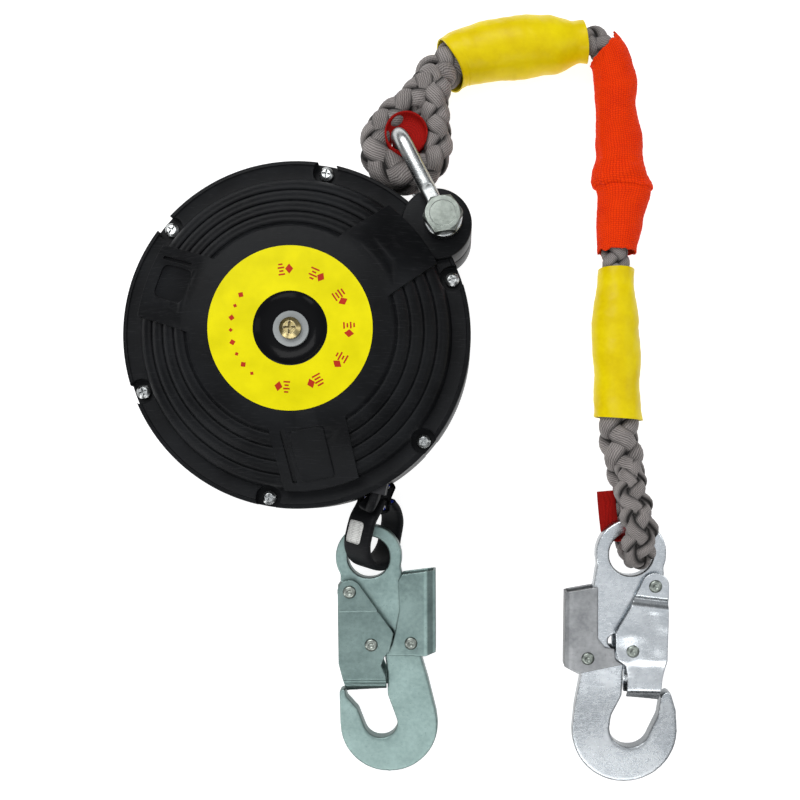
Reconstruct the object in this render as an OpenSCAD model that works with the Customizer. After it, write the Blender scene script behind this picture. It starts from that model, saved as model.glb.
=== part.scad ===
// Self retracting lifeline: a webbing reel in a round two-part casing, hung from a shackle and a short
// eye-spliced rope lanyard with a double-action snap hook, and a second snap hook on the webbing.
// Millimetres. The reel lies flat: its axis is Z, its back face is on Z = 0, and the webbing leaves
// towards -Y.

/* [Casing] */
// Radius of the flange where the two covers meet
flange_r = 86.2; // [84:0.2:88]
// Overall thickness of the reel over both covers
reel_t = 62; // [61:0.5:64]
// Thickness of the flange over both covers
flange_t = 26; // [25:0.5:28]
// Radius of the circle of cover screws
screw_circle_r = 81.8; // [81:0.2:82.4]
// Number of cover screws
screw_count = 6; // [6]
// Outside radius of the round label
label_r = 39.3; // [36:0.1:41]
// Radius of the dish in the middle of the front cover
dish_r = 17.5; // [15:0.5:19]

/* [Drum] */
// Radius of the drum flanges
drum_r = 60; // [58:0.5:61]
// Radius of the spool that the webbing is wound on
spool_r = 20; // [19:0.5:21]
// Webbing thickness
web_t = 1.6; // [1.2:0.1:1.8]
// Webbing width
web_w = 18; // [16:0.5:18]
// Length of webbing on the drum
web_len = 5000; // [3000:100:5200]
// Number of teeth in the ratchet ring
teeth = 12; // [12]

/* [Suspension] */
// Distance of the suspension bolt from the reel's axis
bolt_dist = 91.3; // [91:0.1:92]
// Direction of the suspension bolt from the reel's axis, degrees from +X
bolt_dir = 37.4; // [36:0.2:39]
// Radius of the suspension ear
ear_r = 15.5; // [14.5:0.5:16]
// Radius of the suspension bolt (M10)
bolt_r = 5; // [5]
// Radius of the shackle's rod
shackle_rod_r = 4; // [3.5:0.25:4]
// Direction in which the shackle points at rest, degrees from +X
shackle_dir = 117; // [117:0.5:121]

/* [Rope] */
// Radius of the bare rope
rope_r = 7; // [6.5:0.5:7]
// Radius of the rope over its eye splices
splice_r = 11; // [10:0.5:11]
// Radius of the rope in its upper eye
upper_eye_rope_r = 6; // [5.5:0.25:6]
// Radius of the rope in its lower eye
lower_eye_rope_r = 5; // [5:0.25:5.5]

/* [Snap hooks] */
// Thickness of the forged hook plates
hook_t = 8; // [7:0.5:8]
// Thickness of the gates' and levers' sheet metal
sheet_t = 1.4; // [1.2:0.1:1.5]
// Radius of the hooks' rivets
rivet_r = 2.5; // [2:0.25:2.5]

/* [Hidden] */
$fn = 96;
gap = 0.1;      // clearance between neighbouring pieces
run = 0.05;     // radial clearance of a running fit
over = 1;       // how far a cutting tool stands past what it cuts

// Colours
black_plastic = "#191a1c";
zinc = "#c3c9cc";
steel = "#9aa0a4";
brass = "#c9a24a";
grey_rope = "#8d8983";
yellow_pvc = "#f2df1c";
orange_cloth = "#f0451d";
red_liner = "#c4231c";
web_white = "#e9e9e4";

// Casing
mid_z = reel_t / 2;
half = reel_t / 2;
flange_h = flange_t / 2;
ear_h = 16.5;               // half the thickness of the suspension ear
plateau_r = 49;
roll_count = 4;
roll_first_r = 50.8;        // innermost valley between the rolls
roll_pitch = 6.3;
roll_rise = 1.9;            // how far a roll bulges over the line through its valleys
roll_outer_r = roll_first_r + roll_count * roll_pitch;
valley_z = [29, 16];        // height of the innermost and the outermost valley over the mid-plane
spokes = [[21, 39], [145, 27], [260, 35]];   // start and width of each flat spoke, degrees
screw_dir = 20;             // direction of the first cover screw
pocket_r = 6.3;
pocket_z = 9;
screw_head_r = 3.5;
dish_depth = 3;
label_t = 0.3;
washer_r = 8.5;
neck_w = 28;                // width of the ear's neck
cavity_r = 73;
cavity = [[cavity_r, 12.8], [66, 16.8], [60, 20.5], [54, 23.5], [47, 27.5], [0, 27.5]];

// Frame and drum
plate_z = 11;               // inner faces of the frame plates, from the mid-plane
plate_t = 3;
plate_r = 66;
tongue_w = 20;              // the plates' tongue into the suspension ear
tongue_r = 11;
spacer_r = 2.8;
spacer_circle_r = 63.2;
spacer_dirs = [80, 170, 245];
journal_r = 14;
bush_out_r = 17;
hub_bore_r = 6.2;
rod_r = 6;
coil_r = sqrt(pow(spool_r, 2) + web_len * web_t / PI);
flange_disc_t = 1.4;
carrier_z = 15;
carrier_t = 3;
carrier_r = 31;
pawl_z = carrier_z + carrier_t + gap;
pawl_t = 4;
pawl_pivot_r = 21;
pawl_pin_r = 2.5;
ring_z = 15.9;
ring_t = 6.5;
ring_out_r = 41;
tooth_tip_r = 33;
tooth_root_r = 38;
tooth_phase = -27;          // the pawls' noses swing out between two teeth
disc_t = 1.5;
brake_screw_circle_r = 44.5;
spring_z = [-25.2, -15.4];
spring_turns = 9;
spring_strip = 1.1;

// Suspension
bolt_at = [bolt_dist * cos(bolt_dir), bolt_dist * sin(bolt_dir)];
bow_reach = 49;             // bolt axis to the middle of the shackle's bow
bow_bend_r = 10;
arm_t = 6;
arm_flat = 17;              // length of the flattened end of each arm, past the ear's edge
arm_z = ear_h + 0.3 + arm_t / 2;   // middle of a shackle arm, from the mid-plane
shackle_eye_r = 9.5;
head_t = 6.4;
nut_t = 6.4;
hex_r = 9.8;

// Webbing outside the casing
web_out = [39, -76];                    // where the webbing crosses the casing's rim
web_heading = atan2(web_out[0], -web_out[1])      // turn of the webbing's run from -Y, degrees
  - asin((coil_r + web_t / 2 + gap) / norm(web_out));
loop_turn = 54;                         // twist of the loop about its own length, degrees
loop_at = [34.9, -102.4, 16.1];         // middle of the loop's bend
loop_r = 13;                            // radius of the bend, to the middle of the band
loop_sleeve_t = 4;
loop_sleeve_w = 10;
loop_web_t = 2.2;
loop_web_w = 8.6;
loop_front_leg = [[-11, 15], [-13, 9]];
loop_back_leg = [[13, 7], [9, 13], [1, 18]];
tail_w = web_w - 2 * gap;
tail_in = 60;                           // straight strap inside the rim
tail_out = 3;                           // straight strap outside the rim
tail_end = [-4.3, -10.9, -5.8];       // where the strap meets the loop, from the mouth

// Rope: middle of the upper and lower eyes, and the route between them
upper_eye_at = [52.3, 96.1, 31];
upper_eye_turn = -22;
upper_eye_r = 16.5;
lower_eye_at = [171.5, -94.6, 19.6];
lower_eye_turn = 5.7;
lower_eye_lean = 105;
lower_eye_r = 13;
route = [
  [63.6, 124.2, 30], [66.5, 134, 24], [71, 144, 17], [80, 151.5, 14], [94, 154.5, 14], [107, 156.5, 14],
  [126, 158.5, 14], [145, 160.5, 14], [153.5, 159.5, 14], [160, 152.5, 14], [163, 141, 14],
  [164.5, 130, 14], [166, 104, 14], [164, 77, 14], [163, 50, 14], [163, 40, 14], [163, 24, 14],
  [163.3, -2, 14], [164, -38, 14], [165.5, -52, 14.5], [167.5, -64, 17], [169.2, -72.2, 19.6]
];
upper_sleeve_span = [2, 7];
cover_span = [9, 14];
lower_sleeve_span = [15, 18];
function rope_radius(i) =
  i < 1 ? splice_r - 2 : i < 7 ? splice_r : i < 15 ? rope_r : i < 21 ? splice_r : splice_r - 2;

// Snap hooks: each pair of values is [lanyard hook, lower hook]; outlines are seen from the front
hook_at = [[170, -109.6], [33, -111.4]];
hook_len = [123.5, 116];
hook_tilt = [6.5, 6];
ring_r = [18.5, 17.3];
ring_hole_r = [11.5, 11];
gate_pivot = [[12.3, -16.4], [-9.8, -17.8]];
gate_lug_r = [7.2, 6.4];
plate_lug_r = [5.4, 4.5];
lock_pin = [[1.2, -50.8], [1.3, -45.8]];
lock_travel = [-16, 18];
lever_pivot = [[-22, -55.3], [22, -45.5]];
inner_z = hook_t / 2 + gap;            // inner face of a lever's cheeks
outer_z = inner_z + sheet_t + gap;     // inner face of a gate's cheeks
rivet_head_r = 3.4;
rivet_head_t = 1.1;
slot_r = rivet_r + 1;
hook_plate_outline = [
  concat(
    [[-15.5, 3], [-18.2, -8], [-22.5, -40], [-25.2, -64], [-28.3, -82]],
    arc([-1.5, -95.5], 28, 180, 360, 24),
    [[25.6, -84], [22.6, -74.6], [20.6, -73.6], [17.5, -76], [16, -87]],
    arc([1.2, -93.7], 10.8, 345, 180, 14),
    [[-8.8, -87], [-3.4, -76], [-3, -62], [-2.5, -57], [2, -44], [6.5, -30], [9, -22]],
    [[16.5, -17], [17.5, -10], [15, 3]]
  ),
  concat(
    [[-14, 2], [-15, -12], [-13.6, -17], [-2, -24], [4, -38], [8, -52], [9, -60], [9.4, -74]],
    arc([5.5, -88.5], 9, 360, 205, 14),
    [[-6.5, -82], [-12.6, -75], [-13.2, -70.4], [-16.4, -71.6]],
    arc([10, -90], 26, 180, 360, 24),
    [[35.3, -84], [31, -66], [27, -52], [20.5, -30], [17.2, -8], [14.5, 2]]
  )
];
gate_outline = [
  [[6.5, -12], [2.6, -20], [-0.8, -28], [-8, -41], [-7.6, -51], [-6.1, -56], [-2.2, -59], [-1.1, -65],
   [-1.5, -76], [16, -78], [17.2, -66], [19.5, -56], [19.5, -16], [17, -11]],
  [[-13.5, -12.5], [-16, -16], [-16, -56], [-13.6, -66], [-12.5, -71.5], [9, -70], [9, -63], [6.5, -57],
   [8, -52.5], [11, -49], [13, -40], [12, -38], [-5, -13.5]]
];
gate_back = [
  [[19.5, -14], [19.5, -56], [17.2, -66], [16, -78],
   [14.6, -78], [15.8, -66], [18, -56], [18, -14]],
  [[-16, -14], [-16, -56], [-13.6, -66], [-12.5, -71.5],
   [-11.1, -71.5], [-12.2, -66], [-14.6, -56], [-14.6, -14]]
];
lever_outline = [
  [[-34.2, -20], [-17.2, -17], [-16.8, -44.6], [-12.9, -49.6], [-8, -50], [-7.1, -56], [-3.2, -58.6],
   [-27, -63.6], [-34.2, -60]],
  [[35, -6.5], [17.5, -8.8], [15.5, -12], [16, -28], [14, -38], [12, -46], [8.5, -52],
   [29.5, -52.6], [35, -50.5]]
];
lever_back = [
  [[-34.2, -20], [-32.8, -20], [-32.8, -60.5], [-34.2, -60]],
  [[35, -6.5], [33.6, -6.7], [33.6, -51], [35, -50.5]]
];
gate_spring_at = [[8.6, -27], [-7.4, -27]];
lever_spring_at = [[-23.8, -45], [26.4, -36]];
spring_side = [1, -1];
lanyard = 0;
lower = 1;

function arc(c, r, from, to, n) =
  [for (i = [0:n]) let (a = from + (to - from) * i / n) c + r * [cos(a), sin(a)]];
function polar(r, a) = [r * cos(a), r * sin(a)];
function unit(v) = v / norm(v);

// ---- shapes that repeat ----

// Rings of points square to a path, over a span of its points
function rings(path, radii, sides, up, span) =
  let (n = len(path))
  [
    for (i = [span[0]:span[1]])
      let (
        along = unit(path[min(i + 1, n - 1)] - path[max(i - 1, 0)]),
        side = unit(cross(up, along)),
        top = cross(along, side)
      )
      for (j = [0:sides - 1])
        path[i] + radii[i] * (cos(360 * j / sides) * side + sin(360 * j / sides) * top)
  ];

// The triangles between rings first to last, which face out, or in for a bore
function walls(n, sides, first, bore) = [
  for (i = [0:n - 2], j = [0:sides - 1])
    let (a = first + i * sides + j, b = first + i * sides + (j + 1) % sides)
    each bore
      ? [[a, b, b + sides], [a, b + sides, a + sides]]
      : [[b, a, b + sides], [b + sides, a, a + sides]]
];

// A tube swept along a path, closed at both ends
module tube(path, radii, sides, up = [0, 0, 1]) {
  n = len(path);
  last = (n - 1) * sides;
  polyhedron(
    rings(path, radii, sides, up, [0, n - 1]),
    concat(
      walls(n, sides, 0, false),
      [[for (j = [0:sides - 1]) j]], [[for (j = [sides - 1:-1:0]) last + j]]
    )
  );
}

// A hollow sleeve over a span of the rope's route, open at both ends
module sleeve(span, inner, outer, sides) {
  n = span[1] - span[0] + 1;
  bore = n * sides;
  last = (n - 1) * sides;
  polyhedron(
    concat(
      rings(route, [for (p = route) outer], sides, [0, 0, 1], span),
      rings(route, [for (p = route) inner], sides, [0, 0, 1], span)
    ),
    concat(
      walls(n, sides, 0, false), walls(n, sides, bore, true),
      [for (j = [0:sides - 1]) let (k = (j + 1) % sides) each [[j, k, bore + k], [j, bore + k, bore + j]]],
      [for (j = [0:sides - 1]) let (k = (j + 1) % sides)
        each [[last + k, last + j, last + bore + k], [last + bore + k, last + j, last + bore + j]]]
    )
  );
}

// The middle line of an eye: a round bend whose legs close towards +Y
function eye_line(r) = concat(
  [[5.8, 1.72 * r, 0]],
  [for (i = [0:16]) let (a = 30 - 240 * i / 16) [r * cos(a), r * sin(a), 0]],
  [[-5.8, 1.72 * r, 0]]
);

// A flat band of thickness t that follows a path in its own plane
module band(path, t) {
  n = len(path);
  side = [
    for (i = [0:n - 1])
      let (d = unit(path[min(i + 1, n - 1)] - path[max(i - 1, 0)]))
      [-d[1], d[0]] * t / 2
  ];
  polygon(concat([for (i = [0:n - 1]) path[i] + side[i]], [for (i = [n - 1:-1:0]) path[i] - side[i]]));
}

module ring(out_r, in_r, t) {
  difference() {
    cylinder(r = out_r, h = t);
    translate([0, 0, -over]) cylinder(r = in_r, h = t + 2 * over);
  }
}

// A cross-recessed pan head on a plain shank, its bearing face on Z = 0
module pan_screw(head_r, head_t, shank_r, shank_len) {
  difference() {
    union() {
      cylinder(r = head_r, h = head_t * 0.6);
      translate([0, 0, head_t * 0.6]) cylinder(r1 = head_r, r2 = head_r * 0.6, h = head_t * 0.4);
    }
    for (a = [0, 90]) rotate([0, 0, a]) translate([-head_r * 0.55, -head_r * 0.11, head_t * 0.45])
      cube([head_r * 1.1, head_r * 0.22, head_t]);
  }
  translate([0, 0, -shank_len]) cylinder(r = shank_r, h = shank_len);
}

module at_bolt() translate([bolt_at[0], bolt_at[1], mid_z]) children();

module at_cover_screws()
  for (i = [0:screw_count - 1]) rotate([0, 0, screw_dir + 360 * i / screw_count])
    translate([screw_circle_r, 0, 0]) children();

// ---- casing ----

function roll_points() = [
  for (k = [0:roll_count - 1], i = [0:5])
    let (
      t = i / 6,
      r = roll_outer_r - (k + t) * roll_pitch,
      base = valley_z[1] + (valley_z[0] - valley_z[1]) * (k + t) / roll_count
    )
    [r, base + roll_rise * sqrt(sin(180 * t))]
];

// One cover, as a solid of revolution over the mid-plane, with its ear
module cover_shape(dished) {
  difference() {
    union() {
      rotate_extrude() polygon(concat(
        [[0, 0], [flange_r, 0], [flange_r, flange_h + 0.8], [flange_r - 2, flange_h + 0.8],
         [flange_r - 2.6, flange_h], [roll_outer_r + 1, flange_h]],
        roll_points(),
        [[roll_first_r, valley_z[0]], [plateau_r, half], [0, half]]
      ));
      for (s = spokes) rotate([0, 0, s[0]]) rotate_extrude(angle = s[1])
        polygon([
          [48, 20], [roll_outer_r + 1.5, flange_h - 1], [roll_outer_r + 1.5, valley_z[1] + 1.6],
          [plateau_r, half]
        ]);
      rotate([0, 0, bolt_dir]) translate([60, -neck_w / 2, 0])
        cube([bolt_dist - 60, neck_w, flange_h - 0.5]);
      translate([bolt_at[0], bolt_at[1], 0]) cylinder(r = ear_r, h = ear_h);
    }
    rotate_extrude() polygon(concat([[0, -over], [cavity_r, -over]], cavity));
    if (dished) {
      translate([0, 0, half - dish_depth]) cylinder(r1 = dish_r - 3, r2 = dish_r, h = dish_depth + 0.01);
      translate([0, 0, 20]) cylinder(r = 2.6, h = half);
    }
    at_cover_screws() translate([0, 0, -over]) cylinder(r = 2.1, h = half);
    at_cover_screws() translate([0, 0, pocket_z]) cylinder(r = pocket_r, h = half);
    translate([bolt_at[0], bolt_at[1], -over]) cylinder(r = 8 + gap, h = half);
    rotate([0, 0, bolt_dir]) translate([50, -tongue_w / 2 - gap, plate_z - gap])
      cube([bolt_dist - 50, tongue_w + 2 * gap, plate_t + 2 * gap]);
    translate([bolt_at[0], bolt_at[1], plate_z - gap]) cylinder(r = tongue_r + gap, h = plate_t + 2 * gap);
    outlet_cut();
  }
}

// The mouth that the webbing leaves through, over the mid-plane
module outlet_cut()
  translate([web_out[0], web_out[1], -over]) rotate([0, 0, web_heading])
    translate([-5, -30, 0]) cube([10, 54, 11.5 + over]);

module front_cover() color(black_plastic) translate([0, 0, mid_z]) cover_shape(true);

module back_cover() color(black_plastic) translate([0, 0, mid_z]) mirror([0, 0, 1]) cover_shape(false);

module label() color(yellow_pvc) translate([0, 0, reel_t]) ring(label_r, dish_r + 0.3, label_t);

module front_washer() color("#8e9191") translate([0, 0, reel_t - dish_depth]) ring(washer_r, 2.7, 1.6);

module front_screw() color(brass) translate([0, 0, reel_t - dish_depth + 1.6]) pan_screw(5.2, 3.4, 2.5, 9);

module cover_screws() color(zinc) translate([0, 0, mid_z + pocket_z]) at_cover_screws()
  pan_screw(screw_head_r, 2.6, 2, 2 * pocket_z - 1);

module outlet_guide() color("#2a2b2d")
  translate([web_out[0], web_out[1], mid_z]) rotate([0, 0, web_heading]) difference() {
    translate([-4.9, -2.5, -11.4]) cube([9.8, 15.5, 22.8]);
    translate([-3.2, -2.5 - over, -9.8]) cube([6.4, 15.5 + 2 * over, 19.6]);
  }

// ---- frame ----

module plate_outline() difference() {
  union() {
    circle(r = plate_r);
    rotate(bolt_dir) translate([0, -tongue_w / 2]) square([bolt_dist, tongue_w]);
    translate(bolt_at) circle(r = tongue_r);
  }
  circle(r = bush_out_r);
  translate(bolt_at) circle(r = 8 + gap);
  for (a = spacer_dirs) translate(polar(spacer_circle_r, a)) circle(r = spacer_r - 0.8);
}

module at_brake_screws()
  for (i = [0:3]) rotate([0, 0, 45 + 90 * i]) translate([brake_screw_circle_r, 0, 0]) children();

module frame_plate_front() color(steel) translate([0, 0, mid_z + plate_z]) difference() {
  linear_extrude(plate_t) plate_outline();
  at_brake_screws() translate([0, 0, -over]) cylinder(r = 1.5, h = plate_t + 2 * over);
}

module frame_plate_back() color(steel) translate([0, 0, mid_z - plate_z - plate_t])
  linear_extrude(plate_t) plate_outline();

module frame_spacers() color(zinc) for (a = spacer_dirs)
  rotate([0, 0, a]) translate([spacer_circle_r, 0, mid_z]) {
    translate([0, 0, -plate_z]) cylinder(r = spacer_r, h = 2 * plate_z);
    translate([0, 0, -plate_z - plate_t]) cylinder(r = spacer_r - 0.8, h = 2 * (plate_z + plate_t));
  }

module ear_bush() color(brass) at_bolt() translate([0, 0, -ear_h]) ring(8, bolt_r + run, 2 * ear_h);

module hub_bushes() color(brass) for (z = [-plate_z - plate_t, plate_z])
  translate([0, 0, mid_z + z]) ring(bush_out_r, journal_r + run, plate_t);

module centre_rod() color(zinc) translate([0, 0, mid_z]) difference() {
  translate([0, 0, -27.4]) cylinder(r = rod_r, h = 54.8);
  translate([0, 0, 19]) cylinder(r = 2.5, h = 9);
}

// ---- spring side ----

module spring_case() color(steel) translate([0, 0, mid_z]) difference() {
  translate([0, 0, -27]) cylinder(r = 45, h = 27 - plate_z - plate_t);
  translate([0, 0, -26]) cylinder(r = 44, h = 27);
  translate([0, 0, -28]) cylinder(r = 10.5, h = 5);
}

module power_spring() color("#5b6670") translate([0, 0, mid_z + spring_z[0]])
  linear_extrude(spring_z[1] - spring_z[0])
    band(
      [for (i = [0:spring_turns * 18]) polar(11.5 + 31 * i / (spring_turns * 18), 20 * i)],
      spring_strip
    );

// ---- drum ----

module drum_hub() color("#a8acae") translate([0, 0, mid_z]) difference() {
  rotate_extrude() polygon([
    [hub_bore_r, -25.4], [10, -25.4], [10, -plate_z - plate_t - 0.3], [journal_r, -plate_z - plate_t - 0.3],
    [journal_r, -9], [spool_r, -9], [spool_r, 9], [journal_r, 9], [journal_r, plate_z + plate_t + 0.3],
    [12, plate_z + plate_t + 0.3], [12, 24], [hub_bore_r, 24]
  ]);
  translate([9.2, -1, -27]) cube([3, 2, 11]);
}

module drum_flanges() color("#7d8286") for (z = [-9 - flange_disc_t, 9])
  translate([0, 0, mid_z + z]) ring(drum_r, journal_r + 0.02, flange_disc_t);

module webbing_coil() color(web_white) translate([0, 0, mid_z - web_w / 2 + gap])
  ring(coil_r, spool_r + gap, web_w - 2 * gap);

module at_pawl(i) rotate([0, 0, 180 * i]) translate([pawl_pivot_r, 0, mid_z]) children();

module pawl_carrier() color(steel) translate([0, 0, mid_z + carrier_z]) difference() {
  ring(carrier_r, 12.02, carrier_t);
  for (i = [0, 1]) rotate([0, 0, 180 * i]) translate([pawl_pivot_r, 0, -over])
    cylinder(r = pawl_pin_r, h = carrier_t + 2 * over);
}

module pawl_pins() color(zinc) for (i = [0, 1]) at_pawl(i) {
  translate([0, 0, carrier_z]) cylinder(r = pawl_pin_r, h = carrier_t + pawl_t + 3 * gap);
  translate([0, 0, pawl_z + pawl_t + 2 * gap]) cylinder(r = 4, h = 1);
}

// A pawl: a round boss and a nose that points against the paying-out turn
module pawl(i) color("#b9a05a") at_pawl(i) translate([0, 0, pawl_z]) linear_extrude(pawl_t) difference() {
  union() {
    circle(r = 5);
    polygon([[-3, -2], [0.8, -14.5], [4.2, -16.5], [7.4, -14], [3.8, 0]]);
  }
  circle(r = pawl_pin_r + run);
}

module pawl_a() pawl(0);

module pawl_b() pawl(1);

// ---- brake ----

module ratchet_ring() color(steel) translate([0, 0, mid_z + ring_z]) linear_extrude(ring_t) difference() {
  circle(r = ring_out_r);
  polygon([
    for (k = [0:teeth - 1]) let (a = 360 * k / teeth + tooth_phase)
      each [
        polar(tooth_tip_r, a), polar(tooth_root_r, a + 1),
        polar(tooth_root_r, a + 16), polar(tooth_tip_r, a + 27)
      ]
  ]);
}

module friction_discs() color("#6b4a34") for (z = [ring_z - disc_t, ring_z + ring_t])
  translate([0, 0, mid_z + z]) ring(ring_out_r, tooth_root_r + 0.4, disc_t);

module pressure_ring() color(steel) translate([0, 0, mid_z + ring_z + ring_t + disc_t]) difference() {
  ring(46.8, tooth_root_r + 0.4, 2);
  at_brake_screws() translate([0, 0, -over]) cylinder(r = 1.6, h = 4);
}

module brake_screws() {
  seat = ring_z + ring_t + disc_t + 2;
  color(zinc) translate([0, 0, mid_z]) at_brake_screws() {
    translate([0, 0, seat]) cylinder(r = 2.4, h = 1);
    translate([0, 0, plate_z]) cylinder(r = 1.5, h = seat - plate_z);
  }
}

// ---- suspension ----

module shackle_arm() {
  difference() {
    union() {
      cylinder(r = shackle_eye_r, h = arm_t, center = true);
      intersection() {
        rotate([0, 90, 0]) cylinder(r = shackle_rod_r, h = bow_reach - bow_bend_r);
        translate([0, -10, -arm_t / 2]) cube([arm_flat, 20, arm_t]);
      }
      translate([arm_flat, 0, 0]) rotate([0, 90, 0])
        cylinder(r = shackle_rod_r, h = bow_reach - bow_bend_r - arm_flat);
    }
    cylinder(r = bolt_r + run, h = arm_t + 2 * over, center = true);
  }
  translate([bow_reach - bow_bend_r, 0, -bow_bend_r]) rotate([90, 0, 0]) rotate_extrude(angle = 90)
    translate([bow_bend_r, 0]) circle(r = shackle_rod_r);
}

module shackle() color(zinc) at_bolt() rotate([0, 0, shackle_dir]) {
  translate([0, 0, arm_z]) shackle_arm();
  mirror([0, 0, 1]) translate([0, 0, arm_z]) shackle_arm();
  translate([bow_reach, 0, bow_bend_r - arm_z]) cylinder(r = shackle_rod_r, h = 2 * (arm_z - bow_bend_r));
}

module shackle_bolt() color(zinc) at_bolt() {
  translate([0, 0, arm_z + arm_t / 2]) difference() {
    cylinder(r = hex_r, h = head_t, $fn = 6);
    translate([0, 0, head_t - 0.6]) ring(hex_r + over, hex_r - 1.2, over);
  }
  translate([0, 0, -arm_z - arm_t / 2 - nut_t - 1]) cylinder(r = bolt_r, h = 2 * arm_z + arm_t + nut_t + 1);
}

module shackle_nut() color(zinc) at_bolt() translate([0, 0, -arm_z - arm_t / 2 - nut_t]) difference() {
  cylinder(r = hex_r, h = nut_t, $fn = 6);
  translate([0, 0, -over]) cylinder(r = bolt_r + 0.01, h = nut_t + 2 * over);
}

// ---- webbing outside the drum ----

// The strap: straight from the drum to the mouth, then turning into the loop
module webbing_tail() color(web_white)
  translate([web_out[0], web_out[1], mid_z]) rotate([0, 0, web_heading]) {
  translate([-web_t / 2, -tail_out, -tail_w / 2]) cube([web_t, tail_in + tail_out, tail_w]);
  strap_twist();
}

// The twist between the straight strap and the loop's front leg, in steps
module strap_twist() {
  n = 5;
  points = [
    for (i = [0:n])
      let (t = i / n, lean = 90 - loop_turn * t, w = tail_w + (loop_web_w - tail_w) * t)
      for (c = [[-1, -1], [1, -1], [1, 1], [-1, 1]])
        [0, -tail_out, 0] * (1 - t) + tail_end * t
          + [cos(lean), 0, sin(lean)] * c[1] * w / 2 + [sin(lean), 0, -cos(lean)] * c[0] * web_t / 2
  ];
  polyhedron(points, concat(walls(n + 1, 4, 0, false), [[0, 1, 2, 3]], [[for (j = [3:-1:0]) n * 4 + j]]));
}

module at_loop() translate(loop_at) rotate([0, 0, web_heading]) rotate([0, loop_turn, 0]) children();

function loop_bend() = [for (i = [0:16]) loop_r * [cos(180 + 180 * i / 16), sin(180 + 180 * i / 16)]];

module webbing_loop() color(web_white) at_loop() linear_extrude(loop_web_w, center = true)
  band(concat(loop_front_leg, loop_bend(), loop_back_leg), loop_web_t);

module loop_sleeve() color(black_plastic) at_loop() difference() {
  linear_extrude(loop_sleeve_w, center = true)
    band(concat([loop_front_leg[1]], loop_bend(), [loop_back_leg[0]]), loop_sleeve_t);
  linear_extrude(loop_web_w + 2 * gap, center = true)
    band(concat(loop_front_leg, loop_bend(), loop_back_leg), loop_web_t + 2 * gap);
}

// ---- rope lanyard ----

module rope() color(grey_rope) tube(route, [for (i = [0:len(route) - 1]) rope_radius(i)], 12);

module rope_eye(r, rope_radius) tube(eye_line(r), [for (p = eye_line(r)) rope_radius], 10);

module at_upper_eye() translate(upper_eye_at) rotate([0, 0, upper_eye_turn]) children();

module at_lower_eye()
  translate(lower_eye_at) rotate([0, 0, lower_eye_turn]) rotate([0, lower_eye_lean, 0]) children();

module rope_eye_upper() color(grey_rope) at_upper_eye() rope_eye(upper_eye_r, upper_eye_rope_r);

module rope_eye_lower() color(grey_rope) at_lower_eye() rope_eye(lower_eye_r, lower_eye_rope_r);

module thimble_upper() color(red_liner) at_upper_eye() translate([0, 0, -5])
  ring(upper_eye_r - upper_eye_rope_r - gap, 9, 10);

module thimble_lower() color(red_liner) at_lower_eye() translate([0, 0, -2.2])
  rotate([0, 0, 175]) rotate_extrude(angle = 190)
    translate([lower_eye_r - lower_eye_rope_r - gap - 0.7, 0]) square([0.7, 4.4]);

module rope_sleeve_upper() color(yellow_pvc) sleeve(upper_sleeve_span, splice_r + 0.3, 13.3, 12);

module rope_sleeve_lower() color(yellow_pvc) sleeve(lower_sleeve_span, splice_r + 0.3, 12.8, 12);

module rope_cover() color(orange_cloth) sleeve(cover_span, rope_r + 0.3, 11, 12);

// ---- snap hooks ----

module at_hook(k)
  translate([
    hook_at[k][0], hook_at[k][1],
    hook_t / 2 * cos(hook_tilt[k]) + hook_len[k] * sin(hook_tilt[k])
  ])
    rotate([hook_tilt[k], 0, 0]) children();

module hook_plate(k) color(zinc) at_hook(k) difference() {
  translate([0, 0, -hook_t / 2]) linear_extrude(hook_t) difference() {
    union() {
      circle(r = ring_r[k]);
      polygon(hook_plate_outline[k]);
      translate(gate_pivot[k]) circle(r = plate_lug_r[k]);
    }
    circle(r = ring_hole_r[k]);
    translate(gate_pivot[k]) circle(r = rivet_r);
    translate(lever_pivot[k]) circle(r = rivet_r);
    lock_slot(k);
  }
}

// The slot that the gate's lock pin travels in
module lock_slot(k) {
  pin = lock_pin[k] - gate_pivot[k];
  start = atan2(pin[1], pin[0]);
  path = [for (i = [-3:6]) gate_pivot[k] + polar(norm(pin), start + lock_travel[k] * i / 6)];
  band(path, 2 * slot_r);
  translate(path[len(path) - 1]) circle(r = slot_r);
}

// A pin through the hook with a round head on each side; z is the inner face of its heads
module rivet(z) {
  translate([0, 0, -z]) cylinder(r = rivet_r, h = 2 * z);
  for (m = [0, 1]) mirror([0, 0, m]) translate([0, 0, z]) difference() {
    cylinder(r1 = rivet_head_r, r2 = rivet_head_r - 0.7, h = rivet_head_t);
    translate([0, 0, rivet_head_t - 0.4]) cylinder(r = 1.1, h = 1);
  }
}

module hook_rivets(k) color(zinc) at_hook(k) {
  translate(gate_pivot[k]) rivet(outer_z + sheet_t + run);
  translate(lever_pivot[k]) rivet(inner_z + sheet_t + run);
}

module hook_gate_pin(k) color(zinc) at_hook(k) translate(lock_pin[k]) rivet(outer_z + sheet_t);

// A channel of sheet metal: two cheeks over the plate and a back between them
module channel(outline, back, z, hole_at, hole_r) for (m = [0, 1]) mirror([0, 0, m]) {
  translate([0, 0, z]) linear_extrude(sheet_t) difference() {
    union() {
      polygon(outline);
      children();
    }
    for (p = hole_at) translate(p) circle(r = hole_r);
  }
  linear_extrude(z) polygon(back);
}

module hook_gate(k) color(zinc) at_hook(k) difference() {
  channel(gate_outline[k], gate_back[k], outer_z, [gate_pivot[k]], rivet_r + run)
    translate(gate_pivot[k]) circle(r = gate_lug_r[k]);
  translate(lock_pin[k]) cylinder(r = rivet_r, h = 40, center = true);
}

module hook_lever(k) color(zinc) at_hook(k)
  channel(lever_outline[k], lever_back[k], inner_z, [lever_pivot[k]], rivet_r + run);

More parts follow.
